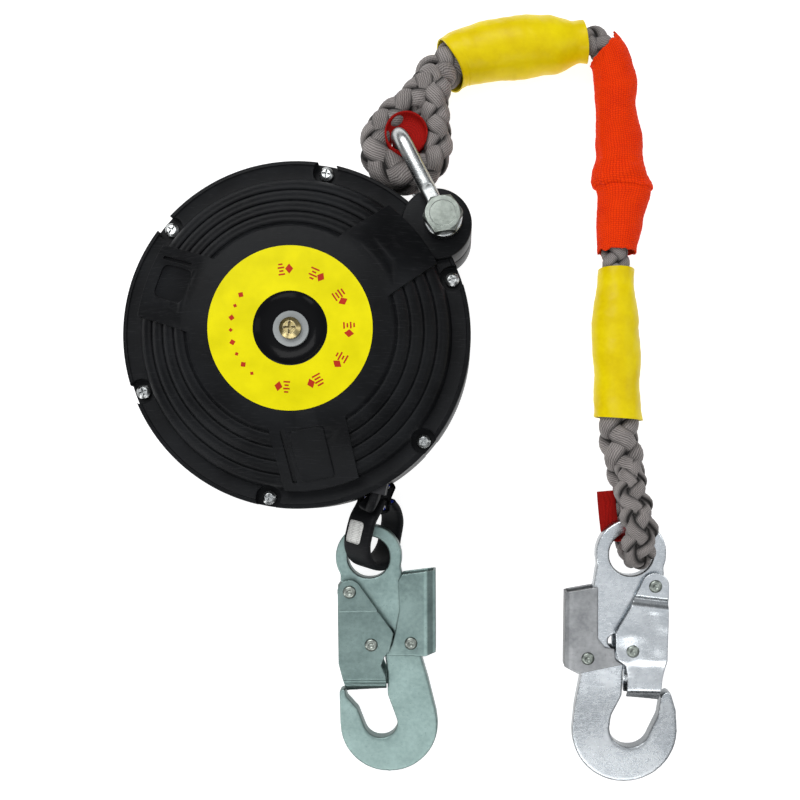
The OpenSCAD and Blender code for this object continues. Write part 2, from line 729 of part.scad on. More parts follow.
// A short coil spring that lies along X
module coil_spring(length, r, wire, turns, side)
  tube([for (i = [0:turns * 10]) [side * length * i / (turns * 10), r * cos(36 * i), r * sin(36 * i)]],
    [for (i = [0:turns * 10]) wire], 6, [1, 0, 0]);

module hook_gate_spring(k) color(steel) at_hook(k)
  translate([gate_spring_at[k][0], gate_spring_at[k][1], 0]) coil_spring(4, 2.2, 0.4, 3, spring_side[k]);

module hook_lever_spring(k) color(steel) at_hook(k)
  translate([lever_spring_at[k][0], lever_spring_at[k][1], 0])
    coil_spring(4.2, 2.4, 0.4, 3, -spring_side[k]);

module lanyard_hook_plate() hook_plate(lanyard);
module lanyard_hook_rivets() hook_rivets(lanyard);
module lanyard_hook_gate() hook_gate(lanyard);
module lanyard_hook_gate_pin() hook_gate_pin(lanyard);
module lanyard_hook_gate_spring() hook_gate_spring(lanyard);
module lanyard_hook_lever() hook_lever(lanyard);
module lanyard_hook_lever_spring() hook_lever_spring(lanyard);
module lower_hook_plate() hook_plate(lower);
module lower_hook_rivets() hook_rivets(lower);
module lower_hook_gate() hook_gate(lower);
module lower_hook_gate_pin() hook_gate_pin(lower);
module lower_hook_gate_spring() hook_gate_spring(lower);
module lower_hook_lever() hook_lever(lower);
module lower_hook_lever_spring() hook_lever_spring(lower);

// ---- nodes ----

front_cover();
back_cover();
label();
front_washer();
front_screw();
cover_screws();
frame_plate_front();
frame_plate_back();
frame_spacers();
ear_bush();
hub_bushes();
centre_rod();
spring_case();
power_spring();
friction_discs();
pressure_ring();
brake_screws();
outlet_guide();
drum_hub();
drum_flanges();
webbing_coil();
pawl_carrier();
pawl_pins();
pawl_a();
pawl_b();
ratchet_ring();
webbing_tail();
webbing_loop();
loop_sleeve();
lower_hook_plate();
lower_hook_rivets();
lower_hook_gate();
lower_hook_gate_pin();
lower_hook_gate_spring();
lower_hook_lever();
lower_hook_lever_spring();
shackle();
shackle_bolt();
shackle_nut();
rope();
rope_eye_upper();
rope_eye_lower();
thimble_upper();
thimble_lower();
rope_sleeve_upper();
rope_sleeve_lower();
rope_cover();
lanyard_hook_plate();
lanyard_hook_rivets();
lanyard_hook_gate();
lanyard_hook_gate_pin();
lanyard_hook_gate_spring();
lanyard_hook_lever();
lanyard_hook_lever_spring();
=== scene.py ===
"""Self retracting lifeline: its looks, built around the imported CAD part."""
import math

import bmesh
import bpy
import numpy as np
from mathutils import Matrix, Vector, noise


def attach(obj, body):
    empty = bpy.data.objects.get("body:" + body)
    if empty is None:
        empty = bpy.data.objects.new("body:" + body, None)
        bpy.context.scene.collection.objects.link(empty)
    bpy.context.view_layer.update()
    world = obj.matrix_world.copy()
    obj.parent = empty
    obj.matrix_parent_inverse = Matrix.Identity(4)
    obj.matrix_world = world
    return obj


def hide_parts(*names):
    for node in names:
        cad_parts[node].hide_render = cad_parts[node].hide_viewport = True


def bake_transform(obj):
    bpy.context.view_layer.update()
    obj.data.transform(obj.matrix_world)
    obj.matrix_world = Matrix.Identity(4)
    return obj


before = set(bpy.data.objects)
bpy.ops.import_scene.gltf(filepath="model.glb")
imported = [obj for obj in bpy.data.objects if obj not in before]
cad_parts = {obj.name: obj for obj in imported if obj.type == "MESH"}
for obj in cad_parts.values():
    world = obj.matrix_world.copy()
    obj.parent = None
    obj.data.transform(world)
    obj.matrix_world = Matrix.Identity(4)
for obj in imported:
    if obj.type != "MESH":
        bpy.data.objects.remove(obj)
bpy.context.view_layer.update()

MM = 0.001                  # every size below is in millimetres
REEL_T = 62
MID_Z = REEL_T / 2
UP = np.array([0.0, 0.0, 1.0])
IDENTITY = Matrix.Identity(4)


# ---- points and vectors ----

def unit(v):
    v = np.asarray(v, float)
    return v / np.linalg.norm(v, axis=-1, keepdims=True)


def polar(radius, degrees):
    a = math.radians(degrees)
    return np.array([radius * math.cos(a), radius * math.sin(a)])


def smooth(low, high, value):
    """0 below low, 1 above high and a soft step between."""
    t = np.clip((np.asarray(value, float) - low) / (high - low), 0, 1)
    return t * t * (3 - 2 * t)


def curve_through(points, step):
    """Points about a step apart on a smooth curve through the given points."""
    p = np.asarray(points, float)
    p = np.vstack([2 * p[0] - p[1], p, 2 * p[-1] - p[-2]])
    out = []
    for a, b, c, d in zip(p, p[1:], p[2:], p[3:]):
        n = max(2, round(np.linalg.norm(c - b) / step))
        t = (np.arange(n) / n)[:, None]
        square, cube = 2 * a - 5 * b + 4 * c - d, 3 * b - a - 3 * c + d
        out.append(0.5 * (2 * b + (c - a) * t + square * t**2 + cube * t**3))
    return np.vstack(out + [p[-2][None]])


def lengths(path):
    """How far along its path each point lies."""
    return np.concatenate([[0], np.cumsum(np.linalg.norm(np.diff(path, axis=0), axis=1))])


def axes_along(path, up):
    """The unit vectors along a path, to its side and over it."""
    along = unit(np.gradient(path, axis=0))
    side = unit(np.cross(up, along))
    return along, side, np.cross(along, side)


def rough(points, size, seed=0.0):
    """Smooth noise from about -1 to 1 at each point; size is the size of its waves."""
    shift = Vector((seed * 17.3, seed * 5.1, seed * 9.7))
    return np.array([noise.noise(Vector(p) / size + shift) for p in np.asarray(points).reshape(-1, 3)])


# ---- meshes ----

class Build:
    """Gathers grids of points into one mesh, with a UV map in millimetres along and turns around."""

    def __init__(self):
        self.points, self.faces, self.uvs = [], [], []

    def grid(self, rings, along=None, wrap=True, caps=True):
        """Joins rings of points, an array of rings x sides x 3."""
        rings = np.asarray(rings, float)
        n, sides = rings.shape[:2]
        base = sum(len(p) for p in self.points)
        self.points.append(rings.reshape(-1, 3))
        along = np.arange(n) if along is None else along
        last = sides if wrap else sides - 1
        i, j = np.meshgrid(np.arange(n - 1), np.arange(last), indexing="ij")
        i, j = i.ravel(), j.ravel()
        k = (j + 1) % sides
        quads = base + np.stack([i * sides + j, i * sides + k, (i + 1) * sides + k, (i + 1) * sides + j], 1)
        self.faces += quads.tolist()
        u0, u1, v0, v1 = along[i], along[i + 1], j / sides, (j + 1) / sides
        self.uvs += np.stack([u0, v0, u0, v1, u1, v1, u1, v0], 1).reshape(-1, 2).tolist()
        if wrap and caps:
            self.faces.append([base + s for s in range(sides - 1, -1, -1)])
            self.faces.append([base + (n - 1) * sides + s for s in range(sides)])
            self.uvs += [[0, 0]] * (2 * sides)

    def piece(self, name):
        mesh = bpy.data.meshes.new(name)
        mesh.from_pydata((np.vstack(self.points) * MM).tolist(), [], self.faces)
        layer = mesh.uv_layers.new(name="fibre")
        layer.data.foreach_set("uv", np.array(self.uvs, np.float32).ravel())
        return add_object(name, mesh)


def add_object(name, mesh):
    obj = bpy.data.objects.new(name, mesh)
    bpy.context.scene.collection.objects.link(obj)
    return obj


def outward(obj):
    """Turns the faces of a closed mesh to face out."""
    edit = bmesh.new()
    edit.from_mesh(obj.data)
    bmesh.ops.recalc_face_normals(edit, faces=edit.faces)
    edit.to_mesh(obj.data)
    edit.free()
    return obj


def shaded(obj, sharp=35):
    """Smooth shading, with edges over the angle left sharp."""
    obj.data.shade_smooth()
    obj.data.set_sharp_from_angle(angle=math.radians(sharp))
    return obj


def apply_modifiers(obj):
    mesh = bpy.data.meshes.new_from_object(obj.evaluated_get(bpy.context.evaluated_depsgraph_get()))
    obj.modifiers.clear()
    obj.data = mesh
    return obj


def revolve(name, profile, steps=256):
    """A solid of revolution about Z from a closed profile of radius and height."""
    rings = []
    for r, z in profile:
        a = np.arange(steps) * 2 * math.pi / steps
        rings.append(np.stack([r * np.cos(a), r * np.sin(a), np.full(steps, z)], 1))
    build = Build()
    build.grid(np.array(rings + [rings[0]]), caps=False)
    obj = build.piece(name)
    edit = bmesh.new()
    edit.from_mesh(obj.data)
    bmesh.ops.remove_doubles(edit, verts=edit.verts, dist=1e-6)
    bmesh.ops.recalc_face_normals(edit, faces=edit.faces)
    edit.to_mesh(obj.data)
    edit.free()
    return obj


def prism(name, outline, low, high, bevel=0.0):
    """A flat outline in X and Y, raised from low to high, with rounded edges."""
    edit = bmesh.new()
    face = edit.faces.new([edit.verts.new((x * MM, y * MM, low * MM)) for x, y in outline])
    moved = bmesh.ops.extrude_face_region(edit, geom=[face])["geom"]
    bmesh.ops.translate(edit, vec=(0, 0, (high - low) * MM),
                        verts=[g for g in moved if isinstance(g, bmesh.types.BMVert)])
    bmesh.ops.recalc_face_normals(edit, faces=edit.faces)
    if bevel:
        rim = [e for e in edit.edges if abs(e.verts[0].co.z - e.verts[1].co.z) < 1e-9]
        bmesh.ops.bevel(edit, geom=rim, offset=bevel * MM, segments=3, affect="EDGES", profile=0.5)
    mesh = bpy.data.meshes.new(name)
    edit.to_mesh(mesh)
    edit.free()
    return add_object(name, mesh)


def disc(radius, at=(0, 0), steps=48):
    return [tuple(np.array(at) + polar(radius, 360 * i / steps)) for i in range(steps)]


def combine(obj, tools, operation):
    """Joins or cuts obj with closed tool pieces, which are used up."""
    for tool in tools:
        step = obj.modifiers.new("combine", "BOOLEAN")
        step.operation, step.solver, step.object = operation, "MANIFOLD", tool
        apply_modifiers(obj)
        bpy.data.objects.remove(tool)
    return obj


def placed(obj, matrix):
    """Moves a piece's points, so that the piece itself stays at the origin."""
    obj.data.transform(matrix)
    return obj


def moved(x, y, z, turn=0.0, lean=0.0):
    """Turn about Z, lean about Y, then a move, in degrees and millimetres."""
    spin = Matrix.Rotation(math.radians(turn), 4, "Z") @ Matrix.Rotation(math.radians(lean), 4, "Y")
    return Matrix.Translation(Vector((x, y, z)) * MM) @ spin


def finished(obj, body, material, nodes=(), sharp=35):
    """Gives a piece its body and its looks, and hides the CAD nodes that it stands for."""
    obj.data.materials.clear()
    obj.data.materials.append(material)
    shaded(obj, sharp)
    if body:
        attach(obj, body)
    if nodes:
        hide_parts(*nodes)
    return obj


# ---- materials ----

class Look:
    """A material, with short ways to add nodes to it."""

    def __init__(self, name):
        self.material = bpy.data.materials.new(name)
        self.material.use_nodes = True
        self.tree = self.material.node_tree
        self.shader = self.tree.nodes["Principled BSDF"]
        self.place = self.node("TexCoord").outputs["Object"]

    def feed(self, socket, value):
        if isinstance(value, bpy.types.NodeSocket):
            self.tree.links.new(value, socket)
        elif isinstance(value, tuple) and socket.type == "RGBA":
            socket.default_value = (*value, 1)
        else:
            socket.default_value = value

    def node(self, kind, sockets=None, **settings):
        made = self.tree.nodes.new("ShaderNode" + kind)
        for key, value in settings.items():
            setattr(made, key, value)
        for key, value in (sockets or {}).items():
            self.feed(made.inputs[key], value)
        return made

    def set(self, **values):
        for key, value in values.items():
            self.feed(self.shader.inputs[key.replace("_", " ")], value)

    def math(self, operation, a, b=0.0, c=0.0):
        return self.node("Math", {0: a, 1: b, 2: c}, operation=operation).outputs[0]

    def times(self, a, b):
        return self.math("MULTIPLY", a, b)

    def plus(self, a, b):
        return self.math("ADD", a, b)

    def span(self, value, low, high, to_low=0.0, to_high=1.0):
        sockets = {"Value": value, "From Min": low, "From Max": high, "To Min": to_low, "To Max": to_high}
        return self.node("MapRange", sockets).outputs["Result"]

    def mix(self, amount, a, b):
        return self.node("Mix", {0: amount, 6: a, 7: b}, data_type="RGBA").outputs[2]

    def noise(self, waves, detail=3.0, stretch=None, turn=0.0, lumpy=0.5):
        """Noise whose waves are so many millimetres long."""
        place = self.place
        if stretch:
            sockets = {"Vector": place, "Scale": stretch, "Rotation": (0, 0, math.radians(turn))}
            place = self.node("Mapping", sockets).outputs["Vector"]
        sockets = {"Vector": place, "Scale": 1000 / waves, "Detail": detail, "Roughness": lumpy}
        return self.node("TexNoise", sockets).outputs["Fac"]

    def scratches(self, amount, turns=(25, -50, 80)):
        """Thin lines in a few directions, 0 to 1."""
        lines = None
        for turn in turns:
            line = self.span(self.noise(9, 2, (1, 28, 1), turn), 0.70 - 0.05 * amount, 0.74)
            lines = line if lines is None else self.math("MAXIMUM", lines, line)
        return lines

    def edges(self, radius):
        """The rounded normal near an edge, and how near the edge is, 0 to 1."""
        bevel = self.node("Bevel", {"Radius": radius * MM}, samples=4).outputs["Normal"]
        plain = self.node("NewGeometry").outputs["Normal"]
        dot = self.node("VectorMath", {0: bevel, 1: plain}, operation="DOT_PRODUCT").outputs["Value"]
        return bevel, self.span(dot, 0.99, 0.86)

    def bump(self, height, depth, under=None):
        sockets = {"Height": height, "Distance": depth * MM, "Strength": 1.0}
        if under is not None:
            sockets["Normal"] = under
        self.set(Normal=self.node("Bump", sockets).outputs["Normal"])


def moulded_plastic(name, dark, light, gloss=(0.34, 0.5), edge=0.5):
    """Satin moulding with fine grain, dust, scratches and rubbed edges."""
    look = Look(name)
    normal, near = look.edges(edge)
    scratch = look.scratches(1.0)
    cloud = look.noise(30, 4)
    colour = look.mix(look.span(cloud, 0.35, 0.7), dark, light)
    rubbed = look.times(near, look.span(look.noise(3, 3), 0.45, 0.7))
    colour = look.mix(look.times(rubbed, 0.35), colour, (0.06, 0.06, 0.064))
    colour = look.mix(look.times(scratch, 0.35), colour, (0.05, 0.05, 0.054))
    look.set(Base_Color=colour, Specular_IOR_Level=0.1)
    gloss_noise = look.plus(look.times(cloud, 0.7), look.times(look.noise(2.5, 2), 0.3))
    gloss_now = look.span(gloss_noise, 0.3, 0.7, *gloss)
    look.set(Roughness=look.plus(gloss_now, look.times(scratch, 0.12)))
    grain = look.math("SUBTRACT", look.noise(0.35, 2), look.times(scratch, 0.7))
    look.bump(grain, 0.03, normal)
    return look.material


def plated_metal(name, dark, light, gloss=(0.25, 0.4), edge=0.4, spots=0.3, grain=0.02):
    """Plated or bare metal: cloudy tone, fine pits, scuffs, bright edges, and steep sides painted dark as a
    painted dark reflection. Where a piece has an attribute of painted shade and tone, the metal is darker by
    it."""
    look = Look(name)
    normal, near = look.edges(edge)
    cloud = look.plus(look.times(look.noise(14, 5), 0.6), look.times(look.noise(2.2, 3), 0.4))
    scratch = look.scratches(0.6, (15, -35, 70, 100))
    pits = look.span(look.noise(0.9, 2, lumpy=0.7), 0.63, 0.72)
    colour = look.mix(look.span(cloud, 0.35, 0.65), dark, light)
    colour = look.mix(look.times(pits, spots), colour, tuple(0.55 * c for c in dark))
    colour = look.mix(look.times(near, 0.35), colour, (0.9, 0.92, 0.93))
    # Painted dark reflection: the steeper a face, the darker its colour.
    lean = look.node("SeparateXYZ", {"Vector": look.node("TexCoord").outputs["Normal"]}).outputs["Z"]
    steep_painted_shade = look.span(look.math("ABSOLUTE", lean), 0.93, 0.35, 0, 0.72)
    colour = look.mix(steep_painted_shade, colour, tuple(0.16 * c for c in dark))
    # Painted shade and reflections, with random tone, from an attribute on each piece's points.
    painted_shade_and_tone = look.node("Attribute", attribute_name="painted_shade_and_tone").outputs["Fac"]
    colour = look.mix(painted_shade_and_tone, colour, (0.004, 0.005, 0.006))
    look.set(Base_Color=colour, Metallic=1.0)
    gloss_now = look.span(cloud, 0.3, 0.7, *gloss)
    look.set(Roughness=look.plus(gloss_now, look.times(look.math("MAXIMUM", pits, scratch), 0.15)))
    height = look.math("SUBTRACT", look.noise(0.5, 3), look.plus(pits, look.times(scratch, 0.6)))
    look.bump(height, grain, normal)
    return look.material


def fibre_place(look):
    """Millimetres along and turns around a strand, from its UV map."""
    uv = look.node("UVMap", uv_map="fibre").outputs["UV"]
    parts = look.node("SeparateXYZ", {"Vector": uv})
    return parts.outputs["X"], parts.outputs["Y"]


def yarn(name, dark, light, yarns, slant, ply):
    """A strand of fine yarns, each of them plied, with painted shade in the hollows between its yarns and on
    its flanks, where it meets the next strand.
    """
    look = Look(name)
    along, around = fibre_place(look)
    drift = look.times(look.math("SUBTRACT", look.noise(5, 2), 0.5), 1.6)
    lane = look.plus(look.times(around, yarns), look.times(along, slant))
    lane = look.plus(lane, drift)
    ridge = look.math("ABSOLUTE", look.math("SINE", look.times(lane, math.pi)))
    tick = look.plus(look.times(along, math.pi / ply), look.times(lane, 1.7))
    tick = look.math("ABSOLUTE", look.math("SINE", tick))
    height = look.plus(look.times(ridge, 0.75), look.times(tick, 0.25))
    fuzz = look.noise(1.2, 4)
    # Painted shade: the lower between the yarns, the darker, with random tone mixed in.
    tone = look.plus(look.times(height, 0.55), look.times(look.noise(9, 3), 0.45))
    colour = look.mix(look.span(tone, 0.2, 0.85), dark, light)
    colour = look.mix(look.span(fuzz, 0.62, 0.8, 0, 0.4), colour, tuple(min(1, 1.4 * c) for c in light))
    # Painted shade: darker towards the strand's flanks.
    crest = look.math("ABSOLUTE", look.math("SINE", look.times(around, 2 * math.pi)))
    colour = look.mix(look.span(crest, 0.12, 0.8), tuple(0.3 * c for c in dark), colour)
    look.set(Base_Color=colour, Roughness=look.span(fuzz, 0.3, 0.7, 0.62, 0.8))
    look.set(Sheen_Weight=0.1, Sheen_Roughness=0.4, Specular_IOR_Level=0.15)
    look.bump(look.plus(height, look.times(fuzz, 0.3)), 0.28)
    return look.material


def woven(name, dark, light, pitch=(1.1, 1.1), around_mm=60, depth=0.25, selvedge=None):
    """A plain weave whose cells are pitch millimetres along and around, with coloured edges if asked."""
    look = Look(name)
    along, around = fibre_place(look)
    wave = look.times(look.math("SUBTRACT", look.noise(14, 2), 0.5), 3.0)
    u = look.times(look.plus(along, wave), math.pi / pitch[0])
    v = look.times(look.plus(look.times(around, around_mm), wave), math.pi / pitch[1])
    weft, warp = look.math("SINE", u), look.math("SINE", v)
    over = look.span(look.times(weft, warp), -0.15, 0.15)
    weft, warp = look.math("ABSOLUTE", weft), look.math("ABSOLUTE", warp)
    under = look.math("SUBTRACT", 1.0, over)
    height = look.plus(look.times(over, weft), look.times(under, look.times(warp, 0.85)))
    # Painted shade: the weave is darker where it lies low, with random tone mixed in.
    tone = look.plus(look.times(height, 0.6), look.times(look.noise(11, 3), 0.4))
    colour = look.mix(look.span(tone, 0.15, 0.75), dark, light)
    if selvedge:
        edge = look.math("ABSOLUTE", look.math("COSINE", look.times(around, 2 * math.pi)))
        colour = look.mix(look.span(edge, 0.90, 0.93), colour, selvedge)
    look.set(Base_Color=colour, Roughness=look.span(tone, 0.2, 0.8, 0.55, 0.75), Specular_IOR_Level=0.1)
    look.bump(look.plus(height, look.times(look.noise(0.7, 2), 0.2)), depth)
    return look.material


def soft_vinyl(name, dark, light, gloss=(0.3, 0.42)):
    """Shrunk PVC film: wavy, with soft highlights."""
    look = Look(name)
    cloud = look.plus(look.times(look.noise(14, 3), 0.8), look.times(look.noise(2, 3), 0.2))
    look.set(Base_Color=look.mix(look.span(cloud, 0.3, 0.7), dark, light))
    look.set(Roughness=look.span(cloud, 0.3, 0.7, *gloss), Specular_IOR_Level=0.16)
    height = look.plus(look.noise(6, 2), look.times(look.noise(0.6, 2), 0.05))
    look.bump(height, 0.3)
    return look.material


def glossy_paint(name, colour, rough_to=0.25, shine=0.12):
    """A smooth even skin, a little cloudy."""
    look = Look(name)
    cloud = look.noise(12, 3)
    look.set(Base_Color=look.mix(look.span(cloud, 0.3, 0.7), tuple(0.85 * c for c in colour), colour))
    look.set(Roughness=look.span(cloud, 0.3, 0.7, rough_to * 0.7, rough_to), Specular_IOR_Level=shine)
    look.bump(look.noise(1.5, 2), 0.02)
    return look.material


casing = moulded_plastic("casing_plastic", (0.0045, 0.0048, 0.0055), (0.011, 0.012, 0.0135))
nylon = moulded_plastic("grey_nylon", (0.03, 0.03, 0.032), (0.05, 0.05, 0.053))
washer_grey = moulded_plastic("grey_washer", (0.30, 0.32, 0.32), (0.42, 0.44, 0.44), (0.4, 0.5), 0.3)
rubber = moulded_plastic("black_rubber", (0.004, 0.0042, 0.005), (0.012, 0.0125, 0.014), (0.42, 0.6), 0.6)
label_film = glossy_paint("label_yellow", (0.92, 0.82, 0.0), 0.4, 0.1)
label_ink = glossy_paint("label_red", (0.55, 0.035, 0.01), 0.45)
yellow_zinc = plated_metal("yellow_zinc", (0.42, 0.32, 0.12), (0.72, 0.62, 0.34), (0.22, 0.35))
bright_zinc = plated_metal("bright_zinc", (0.52, 0.54, 0.54), (0.75, 0.77, 0.76), (0.2, 0.34))
warm_zinc = plated_metal("warm_zinc", (0.26, 0.29, 0.26), (0.42, 0.46, 0.42), (0.26, 0.4))
dull_zinc = plated_metal("dull_zinc", (0.30, 0.42, 0.40), (0.46, 0.62, 0.59), (0.36, 0.5), 0.5, 0.35, 0.03)
bright_steel = plated_metal("hook_steel", (0.70, 0.75, 0.79), (0.90, 0.94, 0.97), (0.2, 0.32), 0.5, 0.25)
lever_steel = plated_metal("lever_steel", (0.34, 0.35, 0.36), (0.54, 0.55, 0.56), (0.36, 0.48), 0.4, 0.4,
                           0.04)
spring_steel = plated_metal("spring_steel", (0.12, 0.14, 0.17), (0.24, 0.27, 0.31), (0.25, 0.4))
plate_steel = plated_metal("plate_steel", (0.32, 0.34, 0.35), (0.52, 0.54, 0.55), (0.3, 0.45))
bush_brass = plated_metal("bush_brass", (0.48, 0.34, 0.12), (0.72, 0.55, 0.24), (0.25, 0.4))
friction = moulded_plastic("friction_lining", (0.12, 0.07, 0.045), (0.22, 0.14, 0.09), (0.7, 0.85))
rope_yarn = yarn("rope_grey", (0.055, 0.05, 0.048), (0.40, 0.365, 0.35), 26, 0.2, 1.0)
# Near black: painted shade seen through the gaps of the plaits.
rope_gap_shade = glossy_paint("rope_gap_shade", (0.05, 0.046, 0.043), 0.8)
sleeve_film = soft_vinyl("sleeve_yellow", (0.74, 0.54, 0.0), (0.90, 0.72, 0.0))
cover_cloth = woven("cover_orange", (0.62, 0.008, 0.0), (1.0, 0.055, 0.0))
liner_cloth = woven("liner_red", (0.22, 0.004, 0.003), (0.50, 0.012, 0.008), (0.7, 0.7), 40, 0.12)
webbing_white = woven("webbing_white", (0.50, 0.50, 0.48), (0.86, 0.86, 0.83), (0.9, 1.2), 36, 0.2,
                      selvedge=(0.008, 0.03, 0.42))


# ---- camera, light and floor ----

CAMERA = (80.8, -81.8, 490)

camera = bpy.data.objects.new("camera", bpy.data.cameras.new("camera"))
bpy.context.scene.collection.objects.link(camera)
camera.location = Vector(CAMERA) * MM
camera.data.sensor_width = 36
camera.data.lens = 40.5
camera.data.shift_x, camera.data.shift_y = -0.075, 0.125
camera.data.clip_start = 0.01
bpy.context.scene.camera = camera
bpy.context.scene.view_settings.view_transform = "Standard"


def area_light(name, at, aim, size, power):
    data = bpy.data.lights.new(name, "AREA")
    data.shape, data.size, data.size_y = "RECTANGLE", size[0] * MM, size[1] * MM
    data.energy = power
    light = bpy.data.objects.new(name, data)
    light.location = Vector(at) * MM
    light.rotation_euler = (Vector(aim) - Vector(at)).to_track_quat("-Z", "Y").to_euler()
    bpy.context.scene.collection.objects.link(light)


area_light("key", (-250, 620, 900), (60, 20, 0), (900, 500), 6.4)
area_light("front", (60, -900, 800), (80, -60, 0), (900, 300), 2.6)
area_light("side", (900, 100, 600), (80, 0, 0), (400, 700), 1.2)
area_light("low", (-700, -600, 420), (-20, -40, 40), (300, 500), 1.6)
world = bpy.data.worlds.new("studio")
bpy.context.scene.world = world
world.use_nodes = True
sky = world.node_tree
height = sky.nodes.new("ShaderNodeSeparateXYZ")
dome = sky.nodes.new("ShaderNodeMapRange")
sky.links.new(sky.nodes.new("ShaderNodeTexCoord").outputs["Generated"], height.inputs["Vector"])
sky.links.new(height.outputs["Z"], dome.inputs["Value"])
sky.links.new(dome.outputs["Result"], sky.nodes["Background"].inputs["Strength"])
sky.nodes["Background"].inputs["Color"].default_value = (0.95, 0.97, 1.0, 1)
for name, value in {"From Min": 0.25, "From Max": 0.92, "To Min": 0.05, "To Max": 0.62}.items():
    dome.inputs[name].default_value = value

floor = prism("floor", [(-3000, -3000), (3000, -3000), (3000, 3000), (-3000, 3000)], -2, -0.05)
floor_look = Look("floor_paint")
floor_grey = floor_look.mix(floor_look.noise(40, 2), (0.50, 0.50, 0.50), (0.52, 0.52, 0.52))
floor_look.set(Base_Color=floor_grey, Roughness=0.9, Emission_Color=(1.0, 1.0, 1.0), Emission_Strength=0.85,
               Specular_IOR_Level=0.0)
floor.data.materials.append(floor_look.material)


# ---- rope: route as in the CAD part, in metres ----

ROUTE = [
    (0.0636, 0.1242, 0.030), (0.0665, 0.134, 0.024), (0.071, 0.144, 0.017), (0.080, 0.1515, 0.014),
    (0.094, 0.1545, 0.014), (0.107, 0.1565, 0.014), (0.126, 0.1585, 0.014), (0.145, 0.1605, 0.014),
    (0.1535, 0.1595, 0.014), (0.160, 0.1525, 0.014), (0.163, 0.141, 0.014), (0.1645, 0.130, 0.014),
    (0.166, 0.104, 0.014), (0.164, 0.077, 0.014), (0.163, 0.050, 0.014), (0.163, 0.040, 0.014),
    (0.163, 0.024, 0.014), (0.1633, -0.002, 0.014), (0.164, -0.038, 0.014), (0.1655, -0.052, 0.0145),
    (0.1675, -0.064, 0.017), (0.1692, -0.0722, 0.0196),
]
ROUTE_MM = np.array(ROUTE) / MM
UPPER_EYE = moved(52.3, 96.1, 31, -22)
LOWER_EYE = moved(171.5, -94.6, 19.6, 5.7, 105)


def route_length(i):
    """How far along the route its point i lies."""
    full = curve_through(ROUTE_MM, 1.0)
    nearest = np.argmin(np.linalg.norm(full - ROUTE_MM[i], axis=1))
    return lengths(full)[nearest]


def plait(build, path, width, angle=31, half=0.5, flat=None):
    """Over-and-under strands round a path, three each way. width is the plait's radius at each point and half
    a strand's half width, as a share of it; flat squashes the plait sideways and upwards."""
    strands, sides, thick, weave = 3, 16, 0.37, 0.17
    along, side, top = axes_along(path, UP)
    s = lengths(path)
    middle = width * (1 - thick - weave)
    flat = np.ones((len(path), 2)) if flat is None else flat
    turn = np.concatenate([[0], np.cumsum(np.diff(s) * math.tan(math.radians(angle)) / middle[1:])])
    around = np.linspace(0, 2 * math.pi, sides, endpoint=False)
    for way in (1, -1):
        for k in range(strands):
            a = way * turn + 2 * math.pi * k / strands + 0.4
            over = way * np.cos(strands * turn)
            out = np.cos(a)[:, None] * side * flat[:, :1] + np.sin(a)[:, None] * top * flat[:, 1:]
            line = path + (middle + weave * width * over)[:, None] * out
            ahead = unit(np.gradient(line, axis=0))
            beside = unit(np.cross(out, ahead))
            lift = np.cross(ahead, beside)
            girth = width * (1 + 0.08 * rough(line, 8, k + 5 * way))
            half_w = (half * girth * (0.78 + 0.22 * (1 + over) / 2))[:, None, None]
            half_t = (thick * girth)[:, None, None]
            c, q = np.cos(around)[None, :, None], np.sin(around)[None, :, None]
            rings = line[:, None] + half_w * c * beside[:, None] + half_t * q * lift[:, None]
            build.grid(rings, s / math.cos(math.radians(angle)))


def core(build, path, width, flat=None):
    """A dark filling inside a plait, painted shade seen through the gaps between its strands."""
    along, side, top = axes_along(path, UP)
    flat = np.ones((len(path), 2)) if flat is None else flat
    a = np.linspace(0, 2 * math.pi, 12, endpoint=False)
    across = np.cos(a)[None, :, None] * (side * flat[:, :1])[:, None]
    over = np.sin(a)[None, :, None] * (top * flat[:, 1:])[:, None]
    build.grid(path[:, None] + width[:, None, None] * (across + over), lengths(path))


def along_route(knots):
    """A value at each point of the fine route, from a value at some of the route's own points."""
    s = lengths(ROPE_PATH)
    return np.interp(s, [route_length(i) for i, _ in knots], [value for _, value in knots])


ROPE_PATH = curve_through(ROUTE_MM, 1.0)
rope_width = along_route([(0, 10.5), (1, 11.2), (2, 11.2), (3, 11), (6, 10.5), (7, 8), (9, 7.6), (14, 7.6),
                          (15, 7.8), (16, 10.5), (18, 11.1), (19, 11.2), (20, 11.0), (21, 10.6)])

strands = Build()
route_at = lengths(ROPE_PATH)
THIN_FROM, THIN_TO = route_length(6), route_length(16)
for low, high in ((0, THIN_FROM), (THIN_FROM - 4, THIN_TO), (THIN_TO - 4, 1e3)):
    pick = (route_at >= low) & (route_at <= high)
    plait(strands, ROPE_PATH[pick], rope_width[pick])
crotch = curve_through([(57.2, 112.8, 31), (60.2, 118.4, 31), (63.6, 124.4, 30), (66.5, 134, 24)], 1.0)
plait(strands, crotch, 10.1 * smooth(-8, 22, lengths(crotch)))
rope = finished(strands.piece("rope_plait"), "lanyard", rope_yarn, ["rope"], 60)
filling = Build()
core(filling, ROPE_PATH, rope_width * 0.55)
rope_filling = finished(filling.piece("rope_filling"), "lanyard", rope_gap_shade)


def eye_path(radius, rise):
    """The middle of an eye: a round bend whose legs close towards +Y."""
    bend = [(x, rise + y, 0) for x, y in (polar(radius, a) for a in range(30, -211, -15))]
    return curve_through([(2.8, 37, 0), (4.9, 29, 0)] + bend + [(-4.9, 29, 0), (-2.8, 37, 0)], 1.0)


